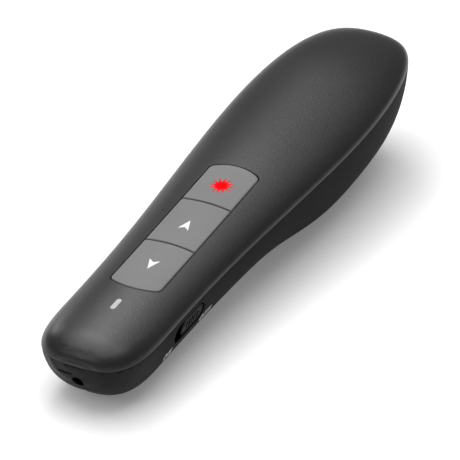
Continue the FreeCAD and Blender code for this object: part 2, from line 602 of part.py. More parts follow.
lampTop = d.boardTop + d.lampHeight
pipeHalf = windowHalf - d.pipeGap
pipeYs = [windowYs[0] + d.pipeGap, windowYs[1] - d.pipeGap]
pipe = stadiumAlongY(pipeHalf, *pipeYs, 0, keyTop).common(formSolid(crownSection, d.pipeSink, 0))
pipe = pipe.fuse([
    stadiumAlongY(pipeHalf, *pipeYs, lampTop + d.pipeLampGap, d.overrun),
    stadiumAlongY(pipeHalf + d.pipeFlangeReach, pipeYs[0] - d.pipeFlangeReach, pipeYs[1] + d.pipeFlangeReach,
                  d.pipeFlangeTop - d.pipeFlangeThickness, d.pipeFlangeTop),
]).removeSplitter()
shapePiece("indicator_light_pipe", pipe)
groupPiece("indicator_lamp", [boxPiece(
    "Lamp", "-Sizes.lampWidth / 2", "Sizes.lampWidth",
    "Sizes.windowStation - Sizes.lampLength / 2", "Sizes.lampLength", "Sizes.boardTop", "Sizes.lampHeight")])


# Circuit board, screwed to four posts of the upper shell

board = doc.addObject("PartDesign::Body", "circuit_board")
noseFormula = "(Sizes.barrelStart + Sizes.barrelLength + Sizes.driverThickness + Sizes.boardLaserGap)"
boardOutline = sketchOn(board, "XY_Plane", (
    ("-Sizes.boardHalfWidth", noseFormula), ("Sizes.boardHalfWidth", noseFormula),
    ("Sizes.boardHalfWidth", "Sizes.boardEnd"), ("-Sizes.boardHalfWidth", "Sizes.boardEnd")))
boardPad = board.newObject("PartDesign::Pad", "BoardPad")
boardPad.Profile = boardOutline
boardPad.setExpression("Length", "Sizes.boardThickness")
doc.recompute()
boardFillet = board.newObject("PartDesign::Fillet", "BoardCorners")
uprightNames = [f"Edge{index + 1}" for index, edge in enumerate(boardPad.Shape.Edges)
                if abs(edge.tangentAt(edge.FirstParameter).z) > 0.5]
boardFillet.Base = (boardPad, uprightNames)
boardFillet.setExpression("Radius", "Sizes.boardCornerRadius")
boardHoles = roundHoles(board, "XY_Plane", [
    (f"{sign}Sizes.boardScrewOffset", station) for sign in ("-", "")
    for station in (f"{noseFormula} + Sizes.boardScrewInset", "Sizes.boardEnd - Sizes.boardScrewRearInset")],
    "Sizes.boardHoleRadius")
boardPocket = board.newObject("PartDesign::Pocket", "BoardHoles")
boardPocket.Profile = boardHoles
boardPocket.Type = "ThroughAll"
boardPocket.Reversed = True
board.Tip = boardPocket
nodes["circuit_board"] = board
seats["circuit_board"] = Placement(Vector(0, 0, boardBottom), Rotation())


# Key switches and their plungers

for name, _, alias in KEYS:
    body = boxPiece(f"TactBody_{name}", "-Sizes.tactSide / 2", "Sizes.tactSide",
                    f"Sizes.{alias} - Sizes.tactSide / 2", "Sizes.tactSide", "Sizes.boardTop", "Sizes.tactHeight")
    well = primitive("Part::Cylinder", f"TactWell_{name}",
                     {"Radius": "Sizes.plungerRadius + Sizes.plungerGap", "Height": "Sizes.tactHeight"},
                     ("0", f"Sizes.{alias}", "Sizes.boardTop + Sizes.plungerWellFloor"))
    cutPiece(f"tact_switch_{name}", body, well)
    plunger = primitive("Part::Cylinder", f"Plunger_{name}",
                        {"Radius": "Sizes.plungerRadius",
                         "Height": "Sizes.keyFloor - Sizes.boardTop - Sizes.tactHeight + Sizes.plungerDepth"},
                        ("0", f"Sizes.{alias}", "Sizes.boardTop + Sizes.tactHeight - Sizes.plungerDepth"))
    groupPiece(f"tact_plunger_{name}", [plunger])


# Power slider: a knob in the side slot, a fork, and the switch that it drives

knobEnd = d.slotEnd - d.knobEndGap
knobStart = knobEnd - d.knobLength
knobMiddle = (knobStart + knobEnd) / 2
knobInner = d.wall + d.knobFlangeGap + d.knobFlangeThickness
switchOuter = d.switchInnerFace + d.switchWidth


def knobColumn(reach):
    """The knob's stadium outline carried across, grown evenly."""
    return sideStadium(d.switchInnerFace, FAR, knobStart - reach, knobEnd + reach, d.slotCentre,
                       d.knobHalfHeight + reach)


knob = bellyLayer(d.knobInset, knobInner).common(knobColumn(0))
knobFlange = bellyLayer(d.wall + d.knobFlangeGap, knobInner).common(knobColumn(d.knobFlangeReach))
forkHalfHeight = boardBottom - d.leverGap - d.slotCentre
forkReach = d.leverWidth / 2 + d.leverGap
fork = block(switchOuter + d.knobFlangeGap, d.boardHalfWidth + d.overrun, knobMiddle - forkReach - d.leverHeight,
             knobMiddle + forkReach + d.leverHeight, d.slotCentre - forkHalfHeight, d.slotCentre + forkHalfHeight)
fork = fork.common(formSolid(bellySection, d.wall + d.knobFlangeGap, 0))
forkSlot = block(0, d.boardHalfWidth - d.leverGap, knobMiddle - forkReach, knobMiddle + forkReach, -FAR, FAR)
grooveFirst = knobMiddle - d.groovePitch * (d.ribGrooves - 1) / 2
knobGrooves = [block(0, FAR, y - d.grooveWidth / 2, y + d.grooveWidth / 2, d.slotCentre - d.grooveHalfHeight,
                     d.slotCentre + d.grooveHalfHeight).common(bellyLayer(0, d.knobInset + d.grooveDepth))
               for y in (grooveFirst + index * d.groovePitch for index in range(int(d.ribGrooves)))]
boardCorner = block(0, d.boardHalfWidth + d.leverGap, 0, FAR, boardBottom - d.leverGap, FAR)
knob = knob.fuse([knobFlange.cut(boardCorner), fork]).cut([forkSlot] + knobGrooves)
shapePiece("power_slider", knob)

switchStart = knobMiddle - (d.sliderTravel + d.switchLength) / 2
switchBody = block(d.switchInnerFace, switchOuter, switchStart, switchStart + d.switchLength,
                   boardBottom - d.switchHeight, boardBottom)
switchSlot = block(switchOuter - d.leverRoot - d.leverGap, FAR,
                   knobMiddle - d.sliderTravel - forkReach, knobMiddle + forkReach,
                   d.slotCentre - d.leverHeight / 2 - d.leverGap, d.slotCentre + d.leverHeight / 2 + d.leverGap)
shapePiece("slide_switch_body", switchBody.cut(switchSlot))
shapePiece("slide_switch_lever", block(
    switchOuter - d.leverRoot, d.boardHalfWidth - 2 * d.leverGap, knobMiddle - d.leverWidth / 2,
    knobMiddle + d.leverWidth / 2, d.slotCentre - d.leverHeight / 2, d.slotCentre + d.leverHeight / 2))


# Laser module

def alongLaser(start):
    """The seat of a piece that is turned about the laser's axis."""
    return Placement(Vector(0, start, d.laserAxisHeight), Rotation())


turnedBody("laser_barrel", (
    ("Sizes.barrelBore", "0"), ("Sizes.barrelRadius", "0"), ("Sizes.barrelRadius", "Sizes.barrelLength"),
    ("Sizes.barrelBore", "Sizes.barrelLength")))
seats["laser_barrel"] = alongLaser(d.barrelStart)
turnedBody("laser_lens_ring", (
    ("Sizes.ringBore", "0"), ("Sizes.barrelBore - Sizes.barrelFit", "0"),
    ("Sizes.barrelBore - Sizes.barrelFit", "Sizes.ringLength"), ("Sizes.ringBore", "Sizes.ringLength")))
seats["laser_lens_ring"] = alongLaser(d.barrelStart)
lensCurve = (d.lensRadius ** 2 + d.lensBulge ** 2) / (2 * d.lensBulge)
lensMiddle = barrelFront + Y_AXIS * (d.lensStart + d.lensThickness / 2)
lensPole = d.lensThickness / 2
lens = rod(d.lensRadius, lensMiddle - Y_AXIS * lensPole, lensMiddle + Y_AXIS * lensPole)
for side in SIDES:
    lens = lens.common(Part.makeSphere(lensCurve, lensMiddle + Y_AXIS * side * (lensCurve - lensPole)))
shapePiece("laser_lens", lens)
turnedBody("laser_diode_can", (
    ("0", "0"), ("Sizes.diodeRadius", "0"), ("Sizes.diodeRadius", "Sizes.diodeLength - Sizes.diodeFlangeLength"),
    ("Sizes.diodeFlangeRadius", "Sizes.diodeLength - Sizes.diodeFlangeLength"),
    ("Sizes.diodeFlangeRadius", "Sizes.diodeLength"), ("0", "Sizes.diodeLength")))
seats["laser_diode_can"] = alongLaser(d.barrelStart + d.barrelLength - d.diodeLength)
turnedBody("laser_driver_board", (
    ("0", "0"), ("Sizes.driverRadius", "0"), ("Sizes.driverRadius", "Sizes.driverThickness"),
    ("0", "Sizes.driverThickness")))
seats["laser_driver_board"] = alongLaser(d.barrelStart + d.barrelLength)
driverRear = d.barrelStart + d.barrelLength + d.driverThickness
shapePiece("laser_leads", Part.makeCompound([tubeAlong([
    Vector(x, driverRear, d.laserAxisHeight), Vector(x, driverRear + d.leadReach, d.laserAxisHeight),
    Vector(x, driverRear + d.leadReach, boardBottom)], d.leadRadius)
    for x in (-d.leadSpread, d.leadSpread)]))


# Electronics on the underside of the board

def chipBox(name, across, acrossSize, along, alongSize, height):
    """A chip soldered under the board, centred on formulas for its place."""
    return boxPiece(name, f"{across} - {acrossSize} / 2", acrossSize, f"{along} - {alongSize} / 2", alongSize,
                    f"Sizes.boardTop - Sizes.boardThickness - {height}", height)


groupPiece("radio_chip", [chipBox("RadioChip", "0", "Sizes.radioSide", "Sizes.radioStation",
                                  "Sizes.radioSide", "Sizes.radioHeight")])
groupPiece("controller_chip", [chipBox("ControllerChip", "0", "Sizes.controllerWidth", "Sizes.controllerStation",
                                       "Sizes.controllerLength", "Sizes.controllerHeight")])
groupPiece("crystal_can", [chipBox("CrystalCan", "Sizes.crystalOffset", "Sizes.crystalLength",
                                   "Sizes.radioStation", "Sizes.crystalWidth", "Sizes.crystalHeight")])
groupPiece("chip_antenna", [chipBox("ChipAntenna", "0", "Sizes.antennaLength", "Sizes.antennaStation",
                                    "Sizes.antennaWidth", "Sizes.antennaHeight")])
groupPiece("chip_components", [
    chipBox(f"Chip_{row}_{column}", f"({2 * row - 1}) * Sizes.chipRowOffset", "Sizes.chipWidth",
            f"Sizes.chipFirstStation + {column} * Sizes.chipPitch", "Sizes.chipLength", "Sizes.chipHeight")
    for row in range(int(d.chipRows)) for column in range(int(d.chipsInRow))])


# Battery cells, their contacts and leads

CELL_CORNERS = (
    ("0", "0"), ("Sizes.cellRadius - Sizes.cellEdge", "0"), ("Sizes.cellRadius", "Sizes.cellEdge"),
    ("Sizes.cellRadius", "Sizes.cellLength - Sizes.cellNubLength - Sizes.cellEdge"),
    ("Sizes.cellRadius - Sizes.cellEdge", "Sizes.cellLength - Sizes.cellNubLength"),
    ("Sizes.cellNubRadius", "Sizes.cellLength - Sizes.cellNubLength"),
    ("Sizes.cellNubRadius", "Sizes.cellLength"), ("0", "Sizes.cellLength"))
nubSeat = d.contactThickness + d.contactBump + d.contactGap
leftX, rightX = stripXs
turnedBody("battery_cell_left", CELL_CORNERS)
seats["battery_cell_left"] = Placement(Vector(leftX, d.bayStart + nubSeat + d.cellLength, d.cellAxisHeight),
                                       Rotation(Z_AXIS, 180))
turnedBody("battery_cell_right", CELL_CORNERS)
seats["battery_cell_right"] = Placement(Vector(rightX, d.bayEnd - nubSeat - d.cellLength, d.cellAxisHeight),
                                        Rotation())


def contactPlate(x, wall, inwards):
    """A flat contact against an end wall of the bay."""
    yLow, yHigh = sorted((wall, wall + inwards * d.contactThickness))
    return block(x - d.contactHalfWidth, x + d.contactHalfWidth, yLow, yHigh, d.contactBottom, d.contactTop)


def contactStrip(x):
    """The strip that leads a contact out through the bay's nose wall."""
    return block(x - d.tailStripWidth / 2, x + d.tailStripWidth / 2, d.bayStart - d.bayWall - d.contactBump,
                 d.bayStart + d.contactThickness, d.contactTop - d.contactThickness, d.contactTop)


def contactBump(x, wall, inwards):
    """The raised button that meets a cell's nub."""
    foot = Vector(x, wall + inwards * d.contactThickness, d.cellAxisHeight)
    return rod(d.contactBumpRadius, foot, foot + Y_AXIS * (inwards * d.contactBump))


def tangentArc(start, corner, end):
    """The arc that leaves start towards the corner and reaches end coming from it."""
    inward, outward = (start - corner).normalize(), (end - corner).normalize()
    turn = math.pi - inward.getAngle(outward)
    bend = (start - corner).Length / math.tan(turn / 2)
    centre = corner + (inward + outward).normalize() * (bend / math.cos(turn / 2))
    return Part.Arc(start, centre + (corner - centre).normalize() * bend, end).toShape()


def contactSpring(x, yBase, yTip):
    """A conical spring of round wire: two tangent arcs for each quarter turn of its helix."""
    quarters = int(4 * d.springTurns)
    shrink = (d.springTipRadius - d.springBaseRadius) / quarters
    climb = (yTip - yBase) / quarters
    points, headings = [], []
    for index in range(quarters + 1):
        angle = index * math.pi / 2
        radius = d.springBaseRadius + shrink * index
        outward = Vector(math.cos(angle), 0, math.sin(angle))
        sideways = Vector(-math.sin(angle), 0, math.cos(angle))
        points.append(Vector(x, yBase + climb * index, d.cellAxisHeight) + outward * radius)
        headings.append((sideways * (radius * math.pi / 2) + outward * shrink + Y_AXIS * climb).normalize())
    edges = []
    for index in range(quarters):
        start, end = points[index], points[index + 1]
        leaving, arriving = headings[index], headings[index + 1]
        gap = end - start
        along = gap.dot(leaving + arriving)
        spread = 2 * (1 - leaving.dot(arriving))
        arm = (math.sqrt(along ** 2 + spread * gap.dot(gap)) - along) / spread
        first, second = start + leaving * arm, end - arriving * arm
        middle = (first + second) / 2
        edges += [tangentArc(start, first, middle), tangentArc(middle, second, end)]
    ring = Part.Wire(Part.makeCircle(d.springWireRadius, points[0], headings[0]))
    middles = [edge.valueAt((edge.FirstParameter + edge.LastParameter) / 2) for edge in edges]
    halfTurn = len(edges) // int(2 * d.springTurns)
    gaps = [middle.distanceToPoint(other) for index, middle in enumerate(middles)
            for other in middles[index + halfTurn:]]
    print("spring: least gap between turns", round(min(gaps) - 2 * d.springWireRadius, 2))
    return Part.Wire(edges).makePipeShell([ring], True, False)


springFrom = d.bayStart + d.contactThickness + d.springWireRadius
springTo = d.bayEnd - nubSeat - d.cellLength - d.springWireRadius
shapePiece("contact_positive", contactPlate(leftX, d.bayStart, 1).fuse(
    [contactBump(leftX, d.bayStart, 1), contactStrip(leftX)]))
shapePiece("contact_negative", contactPlate(rightX, d.bayStart, 1).fuse(contactStrip(rightX)))
shapePiece("negative_spring", contactSpring(rightX, springFrom, springTo))
bridge = contactPlate(leftX, d.bayEnd, -1).fuse([
    contactPlate(rightX, d.bayEnd, -1), contactBump(rightX, d.bayEnd, -1),
    block(leftX, rightX, d.bayEnd - d.contactThickness, d.bayEnd, d.cellAxisHeight, d.contactTop)]).removeSplitter()
shapePiece("contact_bridge", bridge)
bridgeFrom = d.bayEnd - d.contactThickness - d.springWireRadius
bridgeTo = d.bayStart + nubSeat + d.cellLength + d.springWireRadius
shapePiece("bridge_spring", contactSpring(leftX, bridgeFrom, bridgeTo))
stripEnd = d.bayStart - d.bayWall - d.contactBump
leadDrop = d.contactTop - d.contactThickness / 2
shapePiece("battery_leads", Part.makeCompound([tubeAlong([
    Vector(x, stripEnd, leadDrop), Vector(x, stripEnd - d.batteryLeadReach, leadDrop),
    Vector(x, stripEnd - d.batteryLeadReach, boardBottom)], d.batteryLeadRadius) for x in stripXs]))


# Receiver, stored plug first in the tail

plug = aroundReceiver(d.plugWidth / 2, d.plugHeight / 2, d.plugStart, plugEnd)
plugInside = aroundReceiver(d.plugWidth / 2 - d.plugSheet, d.plugHeight / 2 - d.plugSheet,
                            d.plugStart - d.overrun, plugEnd + d.overrun)
shapePiece("receiver_plug_shell", plug.cut(plugInside))
tongueLow = receiverAxis - d.plugHeight / 2 + d.plugSheet
tongueHalf = d.plugWidth / 2 - d.plugSheet - d.tongueGap
tongueStart = d.plugStart + d.plugSheet
shapePiece("receiver_tongue", block(-tongueHalf, tongueHalf, tongueStart, plugEnd, tongueLow,
                                    tongueLow + d.tongueHeight))
padFirst = -d.padPitch * (d.padCount - 1) / 2
shapePiece("receiver_contacts", Part.makeCompound([
    block(x - d.padWidth / 2, x + d.padWidth / 2, tongueStart + d.padInset, tongueStart + d.padInset + d.padLength,
          tongueLow + d.tongueHeight, tongueLow + d.tongueHeight + d.contactPadThickness)
    for x in (padFirst + index * d.padPitch for index in range(int(d.padCount)))]))
cap = aroundReceiver(d.capWidth / 2, d.capHeight / 2, plugEnd, FAR)
capEdges = [edge for edge in cap.Edges if abs(edge.tangentAt(edge.FirstParameter).y) > 0.5]
cap = cap.makeFillet(d.capCorner, capEdges).common(bellyOuter)
nailLayer = formSolid(bellySection, -d.overrun, 0).cut(formSolid(bellySection, d.nailGrooveDepth, d.overrun))
nailLow = receiverAxis - d.capHeight / 2 + d.nailGrooveHeight
nailGroove = block(-d.nailGrooveHalfWidth, d.nailGrooveHalfWidth, plugEnd + d.wall, FAR, nailLow,
                   nailLow + d.nailGrooveHeight)
shapePiece("receiver_cap", cap.cut(nailGroove.common(nailLayer)))


# Screws, heads down

def screwGroup(label, spots, headTop, names):
    """Pan-head screws as turned bodies, each standing on its head's underside level."""
    headRadius, headHeight, shankRadius, shankLength = (f"Sizes.{name}" for name in names)
    screws = []
    for number, (x, y) in enumerate(spots):
        screw = turnedBody(f"{label}_{number + 1}", (
            ("0", "0"), (headRadius, "0"), (headRadius, headHeight), (shankRadius, headHeight),
            (shankRadius, f"{headHeight} + {shankLength}"), ("0", f"{headHeight} + {shankLength}")))
        del nodes[screw.Name]
        screw.Placement = Placement(Vector(x, y, headTop - sheet.get(names[1])), Rotation(X_AXIS, 90))
        screws.append(screw)
    groupPiece(label, screws)


screwGroup("case_screws", [(0, y) for y in caseScrewYs], caseHeadTop,
           ("caseHeadRadius", "caseHeadHeight", "caseScrewRadius", "caseScrewLength"))
screwGroup("board_screws", boardScrewSpots, boardBottom,
           ("boardHeadRadius", "boardHeadHeight", "boardScrewRadius", "boardScrewLength"))


# Check every object, seat every node and write it

doc.recompute()
for piece in doc.Objects:
    if "Invalid" in piece.State or "Error" in piece.State:
        raise SystemExit(f"{piece.Label} did not compute: {piece.State}")
for label, piece in nodes.items():
    piece.Label = label
    piece.Placement = onTable.multiply(seats.get(label, Placement()))
doc.recompute()
os.makedirs("parts", exist_ok=True)
facets = 0
for label, piece in nodes.items():
    shape = piece.Shape
    if shape.isNull() or not shape.isValid() or not shape.Solids:
        raise SystemExit(f"{label} has no valid solid")
    facets += len(shape.tessellate(d.wall / 20)[1])
for label, piece in nodes.items():
    piece.Shape.exportStep(f"parts/{label}.step")
hinge = onTable.multVec(Vector(0, d.coverStart, formAt(d.coverStart, 0)[1] - formAt(d.coverStart, 0)[3]))
print("nodes", len(nodes), "facets about", facets)
print("cover hinge", [round(value, 3) for value in hinge], "tilt", d.restTilt)
print("knob middle", round(knobMiddle, 3), "on the table", onTable)
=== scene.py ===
import json
import math

import bmesh
import bpy
import numpy as np
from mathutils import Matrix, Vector


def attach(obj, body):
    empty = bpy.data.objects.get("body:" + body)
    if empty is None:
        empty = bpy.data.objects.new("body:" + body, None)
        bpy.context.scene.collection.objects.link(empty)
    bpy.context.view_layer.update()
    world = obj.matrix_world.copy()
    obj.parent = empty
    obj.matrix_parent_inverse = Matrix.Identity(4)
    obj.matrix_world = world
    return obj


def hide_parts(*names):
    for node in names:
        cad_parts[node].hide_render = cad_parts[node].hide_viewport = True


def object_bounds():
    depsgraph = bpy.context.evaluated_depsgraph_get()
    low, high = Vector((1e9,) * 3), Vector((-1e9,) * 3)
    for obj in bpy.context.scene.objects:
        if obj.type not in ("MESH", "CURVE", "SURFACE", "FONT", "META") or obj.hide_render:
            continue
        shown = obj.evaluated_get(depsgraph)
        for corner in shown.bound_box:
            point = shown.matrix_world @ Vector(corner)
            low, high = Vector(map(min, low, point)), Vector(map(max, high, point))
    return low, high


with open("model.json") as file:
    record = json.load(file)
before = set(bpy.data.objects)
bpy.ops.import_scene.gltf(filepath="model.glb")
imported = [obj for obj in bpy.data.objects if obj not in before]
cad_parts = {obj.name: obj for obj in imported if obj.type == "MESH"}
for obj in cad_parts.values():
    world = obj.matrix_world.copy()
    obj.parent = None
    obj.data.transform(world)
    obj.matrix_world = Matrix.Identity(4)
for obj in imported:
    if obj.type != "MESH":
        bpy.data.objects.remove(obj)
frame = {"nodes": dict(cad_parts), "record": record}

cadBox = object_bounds()
nodes = frame["nodes"]
print("frame loaded:", len(nodes), "nodes")

# A presentation clicker in black moulded ABS, lying on its nose and its belly.
# Design coordinates are millimetres: x across, y from the nose tip, z up from the rim between the
# two shells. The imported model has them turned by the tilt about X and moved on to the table.

form = {
    "overallLength": 150,
    "gripHalfWidth": 13.5, "palmHalfWidth": 18.5, "widenStart": 17, "widenEnd": 130,
    "nosePlanReach": 19.7, "nosePlanPower": 3.25, "tailPlanReach": 58.3, "tailPlanPower": 3.13,
    "gripCrown": 4.5, "palmCrown": 5.75, "crownStart": 30, "crownEnd": 120,
    "noseCrownReach": 8.4, "tailCrownReach": 33,
    "gripDepth": 14.7, "palmDepth": 22.4, "deepenStart": 58, "deepenEnd": 110,
    "noseDepthReach": 19.2, "tailDepthReach": 26, "bellyPower": 2.64, "capPower": 2.2,
    "bellyStartShare": 0.3,
    "tailRimLift": 0.65, "tailRimStart": 90, "noseRimDrop": 0.25, "noseRimEnd": 60,
    "tilt": 5, "shiftY": -74.7512, "liftZ": 12.9156,
}
tilt = math.radians(form["tilt"])
turn = np.array([[1, 0, 0], [0, math.cos(tilt), -math.sin(tilt)], [0, math.sin(tilt), math.cos(tilt)]])
shift = np.array([0, form["shiftY"], form["liftZ"]])


def toTable(points):
    # design millimetres to the frame's metres: turned by the tilt, then moved
    return (np.asarray(points, float) @ turn.T + shift) / 1000


def toDesign(points):
    # the frame's metres back to design millimetres
    return (np.asarray(points, float) * 1000 - shift) @ turn


def smoothStep(share):
    # rises from 0 to 1 as 6 s^5 - 15 s^4 + 10 s^3
    share = np.clip(share, 0, 1)
    return share ** 3 * (share * (6 * share - 15) + 10)


def endCap(distance, reach, power):
    # superellipse rounding of a tip: (1 - (1 - distance / reach)^p)^(1 / p)
    short = np.clip(1 - distance / reach, 0, 1)
    return (1 - short ** power) ** (1 / power)


def formAt(station):
    # half width, rim height, crown and depth along the body: a step times two end caps each
    f = form
    tail = f["overallLength"] - station
    widening = smoothStep((station - f["widenStart"]) / (f["widenEnd"] - f["widenStart"]))
    halfWidth = f["gripHalfWidth"] + (f["palmHalfWidth"] - f["gripHalfWidth"]) * widening
    halfWidth = halfWidth * endCap(station, f["nosePlanReach"], f["nosePlanPower"])
    halfWidth = halfWidth * endCap(tail, f["tailPlanReach"], f["tailPlanPower"])
    rising = smoothStep((station - f["crownStart"]) / (f["crownEnd"] - f["crownStart"]))
    crown = f["gripCrown"] + (f["palmCrown"] - f["gripCrown"]) * rising
    crown = crown * endCap(station, f["noseCrownReach"], f["capPower"])
    crown = crown * endCap(tail, f["tailCrownReach"], f["capPower"])
    deepening = smoothStep((station - f["deepenStart"]) / (f["deepenEnd"] - f["deepenStart"]))
    depth = f["gripDepth"] + (f["palmDepth"] - f["gripDepth"]) * deepening
    depth = depth * endCap(station, f["noseDepthReach"], f["capPower"])
    depth = depth * endCap(tail, f["tailDepthReach"], f["capPower"])
    rearLength = f["overallLength"] - f["tailRimStart"]
    lift = f["tailRimLift"] * smoothStep((station - f["tailRimStart"]) / rearLength)
    drop = f["noseRimDrop"] * smoothStep((f["noseRimEnd"] - station) / f["noseRimEnd"])
    return halfWidth, lift - drop, crown, depth


bellyWidest = (1 - form["bellyStartShare"] ** form["bellyPower"]) ** (1 / form["bellyPower"])

fitting = {
    "leastSizeMm": 0.001, "slopeReachMm": 0.05, "leastSteepness": 0.05,
    "rounds": 3, "rimBandMm": 0.6, "tipMarginMm": 0.02,
}


def formLevel(points):
    # below 0 inside the form, 0 on it: an ellipse over the rim, a cut superellipse of power p under it
    x, y, z = np.asarray(points, float).T
    halfWidth, rim, crown, depth = formAt(y)
    least = fitting["leastSizeMm"]
    halfWidth, crown, depth = (np.maximum(size, least) for size in (halfWidth, crown, depth))
    share, power = form["bellyStartShare"], form["bellyPower"]
    over = np.hypot(x / halfWidth, (z - rim) / crown) - 1
    fall = np.abs((rim - z) / depth * (1 - share) + share)
    under = ((np.abs(x) / halfWidth * bellyWidest) ** power + fall ** power) ** (1 / power) - 1
    return np.where(z > rim, over * np.minimum(crown, halfWidth), under * np.minimum(depth, halfWidth))


def formSlopes(points):
    # how the level rises along each axis, by central differences
    points = np.asarray(points, float)
    reach = fitting["slopeReachMm"]
    slopes = []
    for axis in range(3):
        offset = np.zeros(3)
        offset[axis] = reach
        slopes.append((formLevel(points + offset) - formLevel(points - offset)) / (2 * reach))
    return np.stack(slopes, -1)


def formNormals(points):
    # outward directions of the form
    slopes = formSlopes(points)
    return slopes / np.maximum(np.linalg.norm(slopes, axis=1, keepdims=True), 1e-12)


def ontoForm(points):
    # moves points on to the form by level over slope, in a few rounds; those near the rim keep their
    # height, so that the line between the shells stays where it is
    points = np.array(points, float)
    margin = fitting["tipMarginMm"]
    for _ in range(fitting["rounds"]):
        slopes = formSlopes(points)
        slopes[np.abs(points[:, 2] - formAt(points[:, 1])[1]) < fitting["rimBandMm"], 2] = 0
        steep = np.maximum((slopes ** 2).sum(1, keepdims=True), fitting["leastSteepness"])
        points -= formLevel(points)[:, None] * slopes / steep
        points[:, 1] = np.clip(points[:, 1], margin, form["overallLength"] - margin)
    return points


# Materials: one helper adds a node, one turns a written colour to linear

def hexColour(code):
    # an sRGB hex code as linear red, green, blue and alpha
    values = np.array([int(code[index:index + 2], 16) for index in (1, 3, 5)]) / 255
    linear = np.where(values <= 0.04045, values / 12.92, ((values + 0.055) / 1.055) ** 2.4)
    return (*linear.tolist(), 1.0)


def addNode(tree, kind, settings=None, links=None, stops=()):
    # a shader node with its settings by name and its inputs, each a value or another node's output;
    # a colour ramp also gets its stops, each a position and a hex code
    node = tree.nodes.new(kind)
    for name, value in (settings or {}).items():
        setattr(node, name, value)
    for name, value in (links or {}).items():
        socket = node.inputs[name]
        if isinstance(value, bpy.types.NodeSocket):
            tree.links.new(value, socket)
        else:
            socket.default_value = value
    if stops:
        elements = node.color_ramp.elements
        while len(elements) < len(stops):
            elements.new(0.5)  # between the two that a ramp starts with, and placed below
        for element, (position, colour) in zip(elements, stops):
            element.position = position
            element.color = hexColour(colour)
    return node


def newMaterial(name, shaderValues):
    # a material with a Principled shader; gives the tree, the shader and the object coordinates
    material = bpy.data.materials.new(name)
    material.use_nodes = True
    tree = material.node_tree
    shader = tree.nodes["Principled BSDF"]
    for socket, value in shaderValues.items():
        shader.inputs[socket].default_value = value
    coordinates = addNode(tree, "ShaderNodeTexCoord")
    return material, tree, shader, coordinates.outputs["Object"]


mouldedAbs = {
    "colour": "#1c1c1d", "paleGrain": "#262627", "paleFrom": 0.12, "paleTo": 0.42,
    "roughness": 0.34, "roughnessSpread": 0.06, "ior": 1.5, "specular": 0.375,
    "grainMm": 0.6, "grainDetail": 2.0, "grainDepthMm": 0.055, "grainStrength": 0.7,
    "mottleMm": 30, "mottleDetail": 3.0, "noiseFade": 0.6,
}


def makeGrainedPlastic(name, values):
    # ABS moulded in a spark-eroded tool: a fine grain that breaks up the sheen, and a slow drift in
    # tone; the grain is too fine to show from a step away, so it is drawn as coarse as it needs to
    # be, and the belly's roughness can change towards the nose
    material, tree, shader, place = newMaterial(name, {
        "IOR": values["ior"], "Specular IOR Level": values["specular"]})
    grain = addNode(tree, "ShaderNodeTexNoise", None, {
        "Vector": place, "Scale": 1000 / values["grainMm"], "Detail": values["grainDetail"],
        "Roughness": values["noiseFade"]}).outputs["Fac"]
    mottle = addNode(tree, "ShaderNodeTexNoise", None, {
        "Vector": place, "Scale": 1000 / values["mottleMm"], "Detail": values["mottleDetail"],
        "Roughness": values["noiseFade"]}).outputs["Fac"]
    blend = addNode(tree, "ShaderNodeMath", {"operation": "MULTIPLY"}, {0: grain, 1: mottle}).outputs[0]
    colours = addNode(tree, "ShaderNodeValToRGB", None, {"Fac": blend}, (
        (values["paleFrom"], values["colour"]), (values["paleTo"], values["paleGrain"])))
    rough = addNode(tree, "ShaderNodeMapRange", None, {
        "Value": grain, "To Min": values["roughness"] - values["roughnessSpread"],
        "To Max": values["roughness"] + values["roughnessSpread"]}).outputs["Result"]
    if "noseRoughness" in values:
        along = addNode(tree, "ShaderNodeSeparateXYZ", None, {"Vector": place}).outputs["Y"]
        change = addNode(tree, "ShaderNodeMapRange", None, {
            "Value": along, "From Min": values["noseStartMm"] / 1000, "From Max": values["noseEndMm"] / 1000,
            "To Min": values["noseRoughness"] - values["roughness"], "To Max": 0.0}).outputs["Result"]
        rough = addNode(tree, "ShaderNodeMath", {"operation": "ADD"}, {0: rough, 1: change}).outputs[0]
    bump = addNode(tree, "ShaderNodeBump", None, {
        "Height": grain, "Distance": values["grainDepthMm"] / 1000, "Strength": values["grainStrength"]})
    tree.links.new(colours.outputs["Color"], shader.inputs["Base Color"])
    tree.links.new(rough, shader.inputs["Roughness"])
    tree.links.new(bump.outputs["Normal"], shader.inputs["Normal"])
    return material


blackAbs = makeGrainedPlastic("mouldedBlackAbs", mouldedAbs)
bellyAbs = makeGrainedPlastic("mouldedBlackAbsBelly", {
    **mouldedAbs, "colour": "#141415", "paleGrain": "#1c1c1d", "specular": 0.13, "roughness": 0.75,
    "noseRoughness": 0.45, "noseStartMm": -72, "noseEndMm": -55, "grainDepthMm": 0.03})
knobAbs = makeGrainedPlastic("mouldedBlackAbsKnob", {
    **mouldedAbs, "colour": "#323233", "paleGrain": "#3a3a3b", "specular": 0.03, "grainDepthMm": 0.006})
greyAbs = makeGrainedPlastic("mouldedGreyAbs", {
    **mouldedAbs, "colour": "#737373", "paleGrain": "#797979", "roughness": 0.5, "specular": 0.25,
    "grainDepthMm": 0.008})
print("plastics made")

unevenness = {"cloudMm": 2, "detail": 3.0, "fade": 0.6, "darkest": 0.9, "palest": 1.06, "sheenSpread": 0.08}


